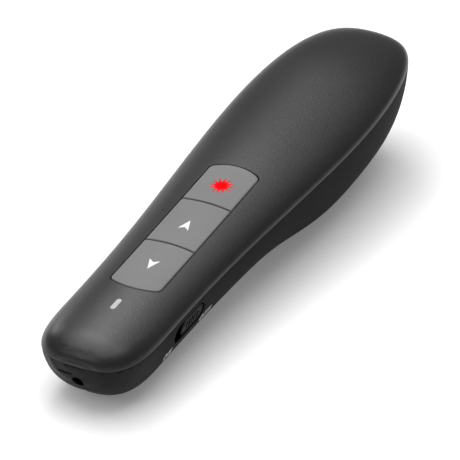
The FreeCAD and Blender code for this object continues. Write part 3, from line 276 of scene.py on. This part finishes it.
def plainMaterial(name, colour, roughness, metallic=0.0, specular=0.5):
    # a smooth finish with a slight unevenness in its tone and sheen
    material, tree, shader, place = newMaterial(name, {"Metallic": metallic, "Specular IOR Level": specular})
    cloud = addNode(tree, "ShaderNodeTexNoise", None, {
        "Vector": place, "Scale": 1000 / unevenness["cloudMm"], "Detail": unevenness["detail"],
        "Roughness": unevenness["fade"]}).outputs["Fac"]
    level = addNode(tree, "ShaderNodeMapRange", None, {
        "Value": cloud, "To Min": unevenness["darkest"], "To Max": unevenness["palest"]})
    tone = addNode(tree, "ShaderNodeHueSaturation", None, {
        "Color": hexColour(colour), "Value": level.outputs["Result"]})
    rough = addNode(tree, "ShaderNodeMapRange", None, {
        "Value": cloud, "To Min": roughness - unevenness["sheenSpread"],
        "To Max": roughness + unevenness["sheenSpread"]})
    tree.links.new(tone.outputs["Color"], shader.inputs["Base Color"])
    tree.links.new(rough.outputs["Result"], shader.inputs["Roughness"])
    return material


cellValues = {
    "sleeve": "#23272c", "band": "#b87a3a", "steel": "#9c9c9e", "roughness": 0.3, "metallic": 0.35,
    "noseStation": 81.0, "tailStation": 127.5, "height": -10.0,
    "sleeveStart": 0.03, "bandStart": 0.70, "bandEdge": 0.01, "bandEnd": 0.94, "sleeveEnd": 0.98,
}


def makeCellSleeve(values):
    # a printed shrink sleeve: dark over most of the length, copper-toned at one end of each cell, with
    # bare steel at both tips; the two cells lie head to tail, so one reads its length backwards
    material, tree, shader, place = newMaterial("printedShrinkSleeve", {
        "Roughness": values["roughness"], "Metallic": values["metallic"]})
    axes = addNode(tree, "ShaderNodeSeparateXYZ", None, {"Vector": place})
    first, last = toTable([[0, values["noseStation"], values["height"]],
                           [0, values["tailStation"], values["height"]]])[:, 1]
    along = addNode(tree, "ShaderNodeMapRange", None, {
        "Value": axes.outputs["Y"], "From Min": first, "From Max": last}).outputs["Result"]
    side = addNode(tree, "ShaderNodeMath", {"operation": "GREATER_THAN"}, {0: axes.outputs["X"], 1: 0.0})
    back = addNode(tree, "ShaderNodeMath", {"operation": "SUBTRACT"}, {0: 1.0, 1: along})
    share = addNode(tree, "ShaderNodeMix", None, {0: side.outputs[0], 2: back.outputs[0], 3: along})
    colours = addNode(tree, "ShaderNodeValToRGB", None, {"Fac": share.outputs[0]}, (
        (0.0, values["steel"]), (values["sleeveStart"], values["sleeve"]),
        (values["bandStart"], values["sleeve"]), (values["bandStart"] + values["bandEdge"], values["band"]),
        (values["bandEnd"], values["band"]), (values["sleeveEnd"], values["steel"])))
    tree.links.new(colours.outputs["Color"], shader.inputs["Base Color"])
    return material


finishes = {
    "shell": blackAbs, "cover": bellyAbs, "slider": knobAbs, "key": greyAbs,
    "cell": makeCellSleeve(cellValues),
    "light_pipe": plainMaterial("mouldedMilkyPolycarbonate", "#bebebc", 0.5, specular=0.1),  # pale and soft
    "lamp": plainMaterial("castClearResin", "#d8d4b8", 0.3),  # glassy, a little yellow
    "board": plainMaterial("printedSolderMask", "#1f5a34", 0.35),  # green lacquer, an even gloss
    "component": plainMaterial("mouldedEpoxy", "#202022", 0.5),  # dull black
    "ceramic": plainMaterial("firedCeramic", "#b7a58c", 0.6),  # matt biscuit brown
    "steel": plainMaterial("nickelPlatedSteel", "#b9b9ba", 0.28, 1.0),  # bright warm grey
    "screw": plainMaterial("zincPlatedSteel", "#a5a5a8", 0.35, 1.0),  # half bright, bluish
    "brass": plainMaterial("turnedBrass", "#c8a560", 0.28, 1.0),  # yellow with sharp reflections
    "gold": plainMaterial("platedGold", "#d9b25a", 0.25, 1.0),  # deep yellow, smooth
    "glass": plainMaterial("mouldedAcrylic", "#dfe8ec", 0.12),  # a lens's mirror gloss
    "wire": plainMaterial("extrudedVinyl", "#a3201c", 0.45),  # red with a soft gloss
    "plunger": plainMaterial("mouldedAcetal", "#d6d3c8", 0.45),  # waxy off-white
}
whiteInk = plainMaterial("printedWhiteInk", "#f4f4f4", 0.6, specular=0.1)  # flat, opaque white
paintedShade = plainMaterial("shadedGroove", "#0a0a0b", 0.8, specular=0.0)  # painted shade: near-black for the inside of grooves and slits, where no light comes out
slotOf = {part["node"]: part["material_slot"] for part in frame["record"]["subparts"]}
for name, node in nodes.items():
    node.data.materials.clear()
    node.data.materials.append(finishes[slotOf[name]])
print("finishes given to the nodes")


# Skins: merged copies of the moulded nodes, with the true normals of the form on their outside

skin = {
    "mergeMm": 0.002, "onFormMm": 0.16, "flatMm": 0.02, "agreement": 0.85, "sharpDegrees": 32,
    "edgeMm": 1.7, "passes": 3, "rimBlendMm": 1.0, "noseBlendMm": 1.8, "noseBlendEnd": 26,
    "bandWeights": ((-1, 1), (-0.5, 2), (0, 2), (0.5, 2), (1, 1)), "knobGrooveShadeMm": 0.34,
}


def blendedNormals(points):
    # the form's directions averaged over a band of heights: the rim and the nose look rounded
    nearNose = smoothStep((skin["noseBlendEnd"] - points[:, 1]) / skin["noseBlendEnd"])
    band = skin["rimBlendMm"] + skin["noseBlendMm"] * nearNose
    total = 0
    for share, weight in skin["bandWeights"]:
        near = points.copy()
        near[:, 2] += share * band
        total = total + weight * formNormals(ontoForm(near))
    return total / np.linalg.norm(total, axis=1, keepdims=True)


def addPiece(name, mesh, body, replaced=None):
    # links a mesh as a piece that rides with a body and may stand for a node
    piece = bpy.data.objects.new(name, mesh)
    bpy.context.scene.collection.objects.link(piece)
    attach(piece, body)
    if replaced:
        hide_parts(replaced)
    return piece


def readAll(collection, attribute, width, kind=float):
    # one attribute of every vertex, corner or face, as the rows of an array
    values = np.empty(len(collection) * width, kind)
    collection.foreach_get(attribute, values)
    return values.reshape(-1, width)


def refineOutside(work):
    # splits the long edges of the outside in half, pass by pass, for a rounder outline
    for _ in range(skin["passes"]):
        places = toDesign([vertex.co for vertex in work.verts])
        onForm = np.abs(formLevel(places)) < skin["onFormMm"]
        outward = formNormals(places) @ turn.T
        longEdges = []
        for edge in work.edges:
            first, second = (vertex.index for vertex in edge.verts)
            if not (onForm[first] and onForm[second]) or edge.calc_length() * 1000 < skin["edgeMm"]:
                continue
            direction = Vector(outward[first] + outward[second]).normalized()
            if any(face.normal.dot(direction) > skin["agreement"] for face in edge.link_faces):
                longEdges.append(edge)
        bmesh.ops.subdivide_edges(work, edges=longEdges, cuts=1, use_grid_fill=True)
        bmesh.ops.triangulate(work, faces=work.faces)
        work.verts.index_update()
        work.normal_update()


def refinedCopy(name):
    # a copy of a node's loose triangles, merged and then refined
    mesh = nodes[name].data.copy()
    work = bmesh.new()
    work.from_mesh(mesh)
    bmesh.ops.remove_doubles(work, verts=work.verts, dist=skin["mergeMm"] / 1000)
    work.verts.index_update()
    work.normal_update()
    refineOutside(work)
    work.to_mesh(mesh)
    work.free()
    return mesh


def layOnForm(mesh):
    # moves the outer vertices on to the form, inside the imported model's box; the two flats that the
    # body lies on stay as they are
    places = toDesign(readAll(mesh.vertices, "co", 3))
    onForm = np.abs(formLevel(places)) < skin["onFormMm"]
    onFlat = toTable(places)[:, 2] < skin["flatMm"] / 1000
    moved = onForm & ~onFlat
    places[moved] = ontoForm(places[moved])
    table = np.clip(toTable(places), np.array(cadBox[0]), np.array(cadBox[1]))
    mesh.vertices.foreach_set("co", table.astype(np.float32).ravel())
    mesh.update()
    return places, onForm


def smoothOutside(mesh, places, onForm):
    # the triangles of the outside take the form's directions at their corners, all others keep theirs
    mesh.shade_smooth()
    mesh.set_sharp_from_angle(angle=math.radians(skin["sharpDegrees"]))
    corners = readAll(mesh.loops, "vertex_index", 1, np.int32)[:, 0]
    faceOf = np.repeat(np.arange(len(mesh.polygons)), 3)
    faceNormals = readAll(mesh.polygons, "normal", 3)[faceOf]
    outward = (blendedNormals(places) @ turn.T)[corners]
    normals = readAll(mesh.corner_normals, "vector", 3)
    agrees = (outward * faceNormals).sum(1) > skin["agreement"]
    allThree = np.bincount(faceOf, onForm[corners])[faceOf] == 3
    chosen = agrees & allThree
    normals[chosen] = outward[chosen]
    mesh.normals_split_custom_set(normals.tolist())


def smoothSkin(name, body, material, deepMm=None):
    # a moulded node's copy whose outside lies on the form and has its normals; faces deeper than a given
    # depth are painted the near-black of a groove's shade
    mesh = refinedCopy(name)
    places, onForm = layOnForm(mesh)
    smoothOutside(mesh, places, onForm)
    mesh.materials.clear()
    mesh.materials.append(material)
    # painted shade: faces deeper than the depth take the near-black that stands for the shade inside the
    # grooves
    if deepMm:
        mesh.materials.append(paintedShade)
        deep = formLevel(toDesign(readAll(mesh.polygons, "center", 3))) < -deepMm
        mesh.polygons.foreach_set("material_index", deep.astype(np.int32))
    return addPiece(f"{name}_skin", mesh, body, name)


for name, body, material in (("upper_shell", "housing", blackAbs), ("lower_shell", "housing", bellyAbs),
                             ("battery_cover", "cover", bellyAbs), ("receiver_cap", "receiver", bellyAbs)):
    smoothSkin(name, body, material)
# the slider knob's groove floors are painted dark as shade
smoothSkin("power_slider", "slider", knobAbs, skin["knobGrooveShadeMm"])
print("skins made")


# Keys: the form's own surface a little proud, with a rounded edge, a skirt and a flange

keys = {
    "halfWidth": 6.8, "nose": 26.2, "tail": 78.8, "sagitta": 1.8, "corner": 1.9,
    "splits": (44.7, 62.5), "splitBow": 0.3, "bowReach": 8.4, "splitGap": 0.4, "gap": 0.28,
    "proud": 0.15, "edge": 0.3, "flangeReach": 0.6, "flangeTop": 1.9, "flangeFoot": 1.1,
    "rows": 17, "crowding": (0, 0.03, 0.08, 0.15, 0.25, 0.4, 0.6, 0.9, 1.3, 1.8), "sharpDegrees": 40,
}


def crownHeight(x, y):
    # height of the upper shell's form at a place seen from above: the rim plus a half ellipse
    halfWidth, rim, crown, _ = formAt(y)
    return rim + crown * np.sqrt(np.clip(1 - (x / halfWidth) ** 2, 0, 1))


def bowedEnd(x, reach):
    # how far the panel's bowed end lies behind its tip: a wide arc, then a small one at each corner
    # that leaves it without a kink and ends along the side
    side, sagitta = keys["halfWidth"] + reach, keys["sagitta"]
    bow = (side ** 2 + sagitta ** 2) / (2 * sagitta)
    corner = keys["corner"] + reach
    centreX = side - corner
    centreY = bow - math.sqrt((bow - corner) ** 2 - centreX ** 2)
    across = np.abs(x)
    onBow = bow - np.sqrt(bow ** 2 - across ** 2)
    onCorner = centreY - np.sqrt(np.clip(corner ** 2 - (across - centreX) ** 2, 0, None))
    return np.where(across < centreX * bow / (bow - corner), onBow, onCorner)


def splitLine(index, side, x):
    # one side of the gently bowed gap between two keys: a parabola across the panel
    bow = keys["splitBow"] * (1 - (x / keys["bowReach"]) ** 2)
    return keys["splits"][index] + side * keys["splitGap"] / 2 + bow


def keyLimits(number, x, reach):
    # nose and tail edge of a key, for each place across it
    low = keys["nose"] - reach + bowedEnd(x, reach) if number == 0 else splitLine(number - 1, 1, x)
    high = keys["tail"] + reach - bowedEnd(x, reach) if number == 2 else splitLine(number, -1, x)
    return low, high


def keyLoop(grid):
    # the outer places of a grid, counter-clockwise from above
    return np.concatenate([grid[:, 0], grid[-1, 1:], grid[-2::-1, -1], grid[0, -2:0:-1]])


def keyGrid(number, reach):
    # places across and along a key: even in the middle and crowded at the edges
    side = keys["halfWidth"] + reach
    crowd = np.array(keys["crowding"])
    middle = np.linspace(-side + crowd[-1], side - crowd[-1], keys["rows"])[1:-1]
    across = np.concatenate([-side + crowd, middle, (side - crowd)[::-1]])
    low, high = keyLimits(number, across, reach)
    count = len(crowd)
    shares = np.concatenate([np.zeros(count), np.linspace(0, 1, keys["rows"])[1:-1], np.ones(count)])
    inner = np.concatenate([crowd, crowd[-1] * (1 - 2 * shares[count:-count]), -crowd[::-1]])
    along = low[:, None] + (high - low)[:, None] * shares + inner
    return np.repeat(across[:, None], len(shares), 1), along


def makeKey(number, name, body):
    # the top is the crown's height plus the proud part, less a quarter round near the edges; under
    # its outer loop come a skirt, the flange's top and the flange's foot, and a face closes it below
    x, y = keyGrid(number, -keys["gap"])
    low, high = keyLimits(number, x[:, 0], -keys["gap"])
    edge = keys["edge"]
    lean = [1 / np.hypot(1, np.gradient(limit, x[:, 0]))[:, None] for limit in (low, high)]
    nearSide = np.clip(1 - (keys["halfWidth"] - keys["gap"] - np.abs(x)) / edge, 0, 1)
    nearLow = np.clip(1 - (y - low[:, None]) * lean[0] / edge, 0, 1)
    nearHigh = np.clip(1 - (high[:, None] - y) * lean[1] / edge, 0, 1)
    near = np.maximum(np.maximum(nearSide, nearLow), nearHigh)
    z = crownHeight(x, y) + keys["proud"] - edge * (1 - np.sqrt(1 - near ** 2))
    columns, rows = x.shape
    top = np.stack([x, y, z], -1).reshape(-1, 3)
    index = np.arange(columns * rows).reshape(columns, rows)
    quads = np.stack([index[:-1, :-1], index[1:, :-1], index[1:, 1:], index[:-1, 1:]], -1).reshape(-1, 4)
    loop = keyLoop(index)
    wideX, wideY = (keyLoop(values) for values in keyGrid(number, keys["flangeReach"]))
    rings = [np.column_stack([keyLoop(x), keyLoop(y), np.full(len(loop), keys["flangeTop"])])]
    rings += [np.column_stack([wideX, wideY, np.full(len(loop), level)])
              for level in (keys["flangeTop"], keys["flangeFoot"])]
    faces = quads.tolist()
    upper = loop
    for ringNumber in range(len(rings)):
        lower = len(top) + ringNumber * len(loop) + np.arange(len(loop))
        faces += np.stack([upper, lower, np.roll(lower, -1), np.roll(upper, -1)], -1).tolist()
        upper = lower
    faces.append(upper[::-1].tolist())
    mesh = bpy.data.meshes.new(f"{name}_key")
    mesh.from_pydata(toTable(np.concatenate([top] + rings)).tolist(), [], faces)
    mesh.shade_smooth()
    mesh.set_sharp_from_angle(angle=math.radians(keys["sharpDegrees"]))
    mesh.materials.append(greyAbs)
    return addPiece(f"{name}_key", mesh, body, f"{name}_button")


for number, name in enumerate(("page_down", "page_up", "laser")):
    makeKey(number, name, f"{name}_key")
print("keys made")


# Printed marks, and one slit of painted shade: flat shapes of triangles, cut fine and laid on the surface

marks = {"lift": 0.012, "divisions": 6}


def splitTriangles(corners, divisions):
    # each triangle as a net of small ones, by shares of its three corners
    steps = [(i, j) for i in range(divisions + 1) for j in range(divisions + 1 - i)]
    number = {step: index for index, step in enumerate(steps)}
    shares = np.array([(divisions - i - j, i, j) for i, j in steps]) / divisions
    small = []
    for i, j in steps:
        if i + j < divisions:
            small.append((number[i, j], number[i + 1, j], number[i, j + 1]))
        if i + j < divisions - 1:
            small.append((number[i + 1, j], number[i + 1, j + 1], number[i, j + 1]))
    points = np.einsum("sc,tcd->tsd", shares, np.asarray(corners, float))
    faces = (np.array(small)[None] + np.arange(len(points))[:, None, None] * len(steps)).reshape(-1, 3)
    return points.reshape(-1, 2), faces


def makeMark(name, corners, lay, material, body, lift, divisions=marks["divisions"]):
    # lays the triangles on a surface and lifts them a hair along its normals
    points, faces = splitTriangles(corners, divisions)
    places = lay(points)
    places = places + formNormals(places) * lift
    mesh = bpy.data.meshes.new(name)
    mesh.from_pydata(toTable(places).tolist(), [], faces.tolist())
    mesh.shade_smooth()
    mesh.materials.append(material)
    return addPiece(name, mesh, body)


def onCrown(points):
    # on the upper shell: points are a place across and a station
    x, y = points.T
    return np.column_stack([x, y, crownHeight(x, y)])


def onSide(points):
    # on the belly's right-hand side: points are a station and a height
    y, z = points.T
    halfWidth, rim, _, depth = formAt(y)
    share, power = form["bellyStartShare"], form["bellyPower"]
    fall = (rim - z) / depth * (1 - share) + share
    return np.column_stack([halfWidth * (1 - fall ** power) ** (1 / power) / bellyWidest, y, z])


# the nose's slit is not cut: a flat sheet of painted shade lies where it would be
noseSlit = {
    "left": -4.8, "right": -1.1, "height": -3.05, "width": 0.28,
    "nearest": 0.001, "farthest": 15.0, "halvings": 40,
}


def onNose(points):
    # on the front of the nose: points are a place across and a height; the station by halving
    x, z = points.T
    near, far = np.full(len(x), noseSlit["nearest"]), np.full(len(x), noseSlit["farthest"])
    for _ in range(noseSlit["halvings"]):
        half = (near + far) / 2
        inside = formLevel(np.column_stack([x, half, z])) < 0
        near, far = np.where(inside, near, half), np.where(inside, half, far)
    return np.column_stack([x, far, z])


arrow = {"width": 2.75, "length": 3.7, "notch": 0.95, "downStation": 36.0, "upStation": 53.0}


def makeArrow(name, station, heading, body):
    # a notched arrowhead that points to the tail or, turned about, to the nose
    half, reach = arrow["width"] / 2, arrow["length"] / 2
    tip, left, right = (0, reach), (-half, -reach), (half, -reach)
    notch = (0, -reach + arrow["notch"])
    corners = np.array([(tip, left, notch), (tip, notch, right)]) * heading + (0, station)
    makeMark(name, corners, onCrown, whiteInk, body, keys["proud"] + marks["lift"])


star = {
    "points": 12, "outer": 3.4, "inner": 1.55, "station": 70.1, "turn": 0.12, "divisions": 4,
    "core": "#ff0e10", "middle": "#e82a2c", "tip": "#b45a5c", "coreEnd": 0.3, "middleAt": 0.6,
    "roughness": 0.8,
}


def makeFadedInk(values):
    # pad-printed red ink: flat, full in the middle of the burst and thinner towards its tips
    material, tree, shader, place = newMaterial("printedRedInk", {
        "Roughness": values["roughness"], "Specular IOR Level": 0.0})
    centre = toTable(onCrown(np.array([[0, values["station"]]])))[0]
    away = addNode(tree, "ShaderNodeVectorMath", {"operation": "DISTANCE"}, {0: place, 1: centre.tolist()})
    share = addNode(tree, "ShaderNodeMath", {"operation": "DIVIDE"}, {
        0: away.outputs["Value"], 1: values["outer"] / 1000})
    colours = addNode(tree, "ShaderNodeValToRGB", None, {"Fac": share.outputs[0]}, (
        (values["coreEnd"], values["core"]), (values["middleAt"], values["middle"]), (1.0, values["tip"])))
    tree.links.new(colours.outputs["Color"], shader.inputs["Base Color"])
    return material


def makeStar(values):
    # a burst of slim points round a full middle: radii that change between the outer and the inner one
    count = values["points"]
    angles = values["turn"] + np.arange(2 * count) * math.pi / count
    radii = np.where(np.arange(2 * count) % 2 == 0, values["outer"], values["inner"])
    rim = np.column_stack([radii * np.cos(angles), values["station"] + radii * np.sin(angles)])
    centre = np.repeat([[0, values["station"]]], len(rim), 0)
    corners = np.stack([centre, rim, np.roll(rim, -1, 0)], 1)
    makeMark("laser_star", corners, onCrown, makeFadedInk(values), "laser_key",
             keys["proud"] + marks["lift"], values["divisions"])


lettering = {
    "height": 2.2, "stroke": 0.55, "space": 0.4, "foot": -8.7, "onStart": 19.3, "offStart": 36.2,
    "widths": {"O": 1.75, "N": 1.55, "F": 1.3}, "armHeightShare": 0.52, "armWidthShare": 0.85,
    "roundSteps": 24, "divisions": 3,
}


def strokeQuad(start, end, width):
    # a straight stroke as two triangles
    start, end = np.array(start), np.array(end)
    along = (end - start) / np.linalg.norm(end - start)
    aside = np.array([-along[1], along[0]]) * width / 2
    a, b, c, d = start - aside, end - aside, end + aside, start + aside
    return [(a, b, c), (a, c, d)]


def letterShapes(letter, values):
    # triangles of one capital whose foot stands at the origin; the round one is a ring of two ellipses
    width, height, stroke = values["widths"][letter], values["height"], values["stroke"]
    left, right, foot, head = stroke / 2, width - stroke / 2, 0, height
    upright = strokeQuad((left, foot), (left, head), stroke)
    if letter == "N":
        return (upright + strokeQuad((right, foot), (right, head), stroke)
                + strokeQuad((left, head), (right, foot), stroke))
    if letter == "F":
        armHeight, armWidth = height * values["armHeightShare"], width * values["armWidthShare"]
        return (upright + strokeQuad((0, head - stroke / 2), (width, head - stroke / 2), stroke)
                + strokeQuad((0, armHeight), (armWidth, armHeight), stroke))
    angles = np.linspace(0, 2 * math.pi, values["roundSteps"] + 1)
    middle = np.array([width / 2, height / 2])
    circle = np.column_stack([np.cos(angles), np.sin(angles)])
    outer = middle + circle * middle
    inner = middle + circle * (middle - stroke)
    quads = np.stack([inner[:-1], outer[:-1], outer[1:], inner[1:]], 1)
    return quads[:, [[0, 1, 2], [0, 2, 3]]].reshape(-1, 3, 2)


def makeWord(name, word, start, values):
    # capitals side by side from a station on, with an even space between them
    corners = []
    for letter in word:
        corners.append(np.asarray(letterShapes(letter, values)) + (start, values["foot"]))
        start += values["widths"][letter] + values["space"]
    makeMark(name, np.concatenate(corners), onSide, whiteInk, "housing", marks["lift"],
             values["divisions"])


def makeSlitShade(values):
    # a short line of painted shade on the nose that stands in for the dark inside a slit, at one height from
    # its left end to its right end
    left, right = (values["left"], values["height"]), (values["right"], values["height"])
    corners = strokeQuad(left, right, values["width"])
    makeMark("nose_slit_shade", corners, onNose, paintedShade, "housing", marks["lift"])


makeArrow("down_arrow", arrow["downStation"], -1, "page_down_key")
makeArrow("up_arrow", arrow["upStation"], 1, "page_up_key")
makeStar(star)
makeWord("on_word", "ON", lettering["onStart"], lettering)
makeWord("off_word", "OFF", lettering["offStart"], lettering)
makeSlitShade(noseSlit)
print("marks made")


# Floor, world, lamps and camera

floorValues = {
    "size": 6.0, "height": -0.00005, "colour": "#f4f4f4", "bounce": "#acacac", "roughness": 0.9,
    "cameraLift": 0.15,
}


def seenDirectly(tree):
    # 1 for rays of the camera, of gloss and through clear parts, 0 for all others
    rays = addNode(tree, "ShaderNodeLightPath")
    seen = addNode(tree, "ShaderNodeMath", {"operation": "MAXIMUM"}, {
        0: rays.outputs["Is Camera Ray"], 1: rays.outputs["Is Glossy Ray"]})
    return addNode(tree, "ShaderNodeMath", {"operation": "MAXIMUM"}, {
        0: seen.outputs[0], 1: rays.outputs["Is Transmission Ray"]}).outputs[0]


def makeFloor(values):
    # pressed matt paper that keeps the shadow; what is seen directly is lifted to white, and from
    # underneath it is clear, so that the belly can be looked at
    material, tree, shader, _ = newMaterial("pressedPaper", {
        "Roughness": values["roughness"], "Specular IOR Level": 0.0})
    seen = seenDirectly(tree)
    colour = addNode(tree, "ShaderNodeMix", {"data_type": "RGBA"}, {
        0: seen, 6: hexColour(values["bounce"]), 7: hexColour(values["colour"])})
    tree.links.new(colour.outputs[2], shader.inputs["Base Color"])
    strength = addNode(tree, "ShaderNodeMath", {"operation": "MULTIPLY"}, {0: seen, 1: values["cameraLift"]})
    glow = addNode(tree, "ShaderNodeEmission", None, {"Strength": strength.outputs[0]})
    both = addNode(tree, "ShaderNodeAddShader", None, {0: shader.outputs[0], 1: glow.outputs[0]})
    under = addNode(tree, "ShaderNodeNewGeometry").outputs["Backfacing"]
    clear = addNode(tree, "ShaderNodeBsdfTransparent")
    whole = addNode(tree, "ShaderNodeMixShader", None, {0: under, 1: both.outputs[0], 2: clear.outputs[0]})
    tree.links.new(whole.outputs[0], tree.nodes["Material Output"].inputs["Surface"])
    half, level = values["size"] / 2, values["height"]
    corners = [(-half, -half, level), (half, -half, level), (half, half, level), (-half, half, level)]
    mesh = bpy.data.meshes.new("floor")
    mesh.from_pydata(corners, [], [(0, 1, 2, 3)])
    mesh.materials.append(material)
    floor = bpy.data.objects.new("floor", mesh)
    bpy.context.scene.collection.objects.link(floor)


worldValues = {"fill": 0.25}


def makeWorld(values):
    # the same dim even fill for every ray; what lies behind the object is the floor
    world = bpy.data.worlds.new("studio")
    bpy.context.scene.world = world
    world.use_nodes = True
    tree = world.node_tree
    tree.nodes.clear()
    glow = addNode(tree, "ShaderNodeBackground", None, {"Color": (1, 1, 1, 1), "Strength": values["fill"]})
    addNode(tree, "ShaderNodeOutputWorld", None, {"Surface": glow.outputs[0]})


bodyMiddle = (0, 0, 0.015)
lamps = {
    "softBox": {"place": (-0.1, 0.057, 1.109), "aim": bodyMiddle, "size": 1.21, "watts": 11.5},
    "sheenLamp": {"place": (-0.248, 0.295, 0.475), "aim": bodyMiddle, "size": 0.18, "watts": 0.45},
    "noseLamp": {"place": (-0.127, 0.072, 0.303), "aim": (0, -0.055, 0.015), "size": 0.18, "watts": 0.17},
    "frontLamp": {"place": (-0.19, -0.47, 0.4), "aim": (0, -0.07, 0.015), "size": 0.3, "watts": 0.5},
    "sideLamp": {"place": (-0.906, 0.523, 0.355), "aim": bodyMiddle, "size": 0.33, "watts": 1.04},
}


def makeLamp(name, values):
    # a square area lamp whose face is turned to its aim
    data = bpy.data.lights.new(name, "AREA")
    data.shape = "SQUARE"
    data.size = values["size"]
    data.energy = values["watts"]
    lamp = bpy.data.objects.new(name, data)
    lamp.location = values["place"]
    away = Vector(values["place"]) - Vector(values["aim"])
    lamp.rotation_mode = "QUATERNION"
    lamp.rotation_quaternion = away.to_track_quat("Z", "Y")
    bpy.context.scene.collection.objects.link(lamp)


cameraValues = {
    "azimuth": 28.45, "elevation": 30.98, "focalPixels": 4278.63, "distanceMm": 1017.79,
    "aside": 0.53, "above": 7.16, "sensor": 36.0, "framePixels": 460,
    "lookDesign": (0, 75, 0), "lookDropMm": 2, "clipStart": 0.05, "clipEnd": 50,
}


def makeCamera(values):
    # placed by bearing and distance from the body's middle, then moved aside and up in its own plane
    a, e = math.radians(values["azimuth"]), math.radians(values["elevation"])
    back = Vector((math.sin(a) * math.cos(e), -math.cos(a) * math.cos(e), math.sin(e)))
    right = Vector((math.cos(a), math.sin(a), 0))
    up = back.cross(right)
    look = Vector(toTable([values["lookDesign"]])[0]) - Vector((0, 0, values["lookDropMm"] / 1000))
    data = bpy.data.cameras.new("photoCamera")
    data.sensor_width = values["sensor"]
    data.lens = values["sensor"] * values["focalPixels"] / values["framePixels"]
    data.clip_start, data.clip_end = values["clipStart"], values["clipEnd"]
    camera = bpy.data.objects.new("photoCamera", data)
    moved = back * values["distanceMm"] - right * values["aside"] - up * values["above"]
    camera.location = look + moved / 1000
    camera.rotation_mode = "QUATERNION"
    camera.rotation_quaternion = back.to_track_quat("Z", "Y")
    bpy.context.scene.collection.objects.link(camera)
    bpy.context.scene.camera = camera


makeFloor(floorValues)
makeWorld(worldValues)
for name, values in lamps.items():
    makeLamp(name, values)
makeCamera(cameraValues)
bpy.context.scene.view_settings.view_transform = "Standard"
print("stage, lamps and camera set")
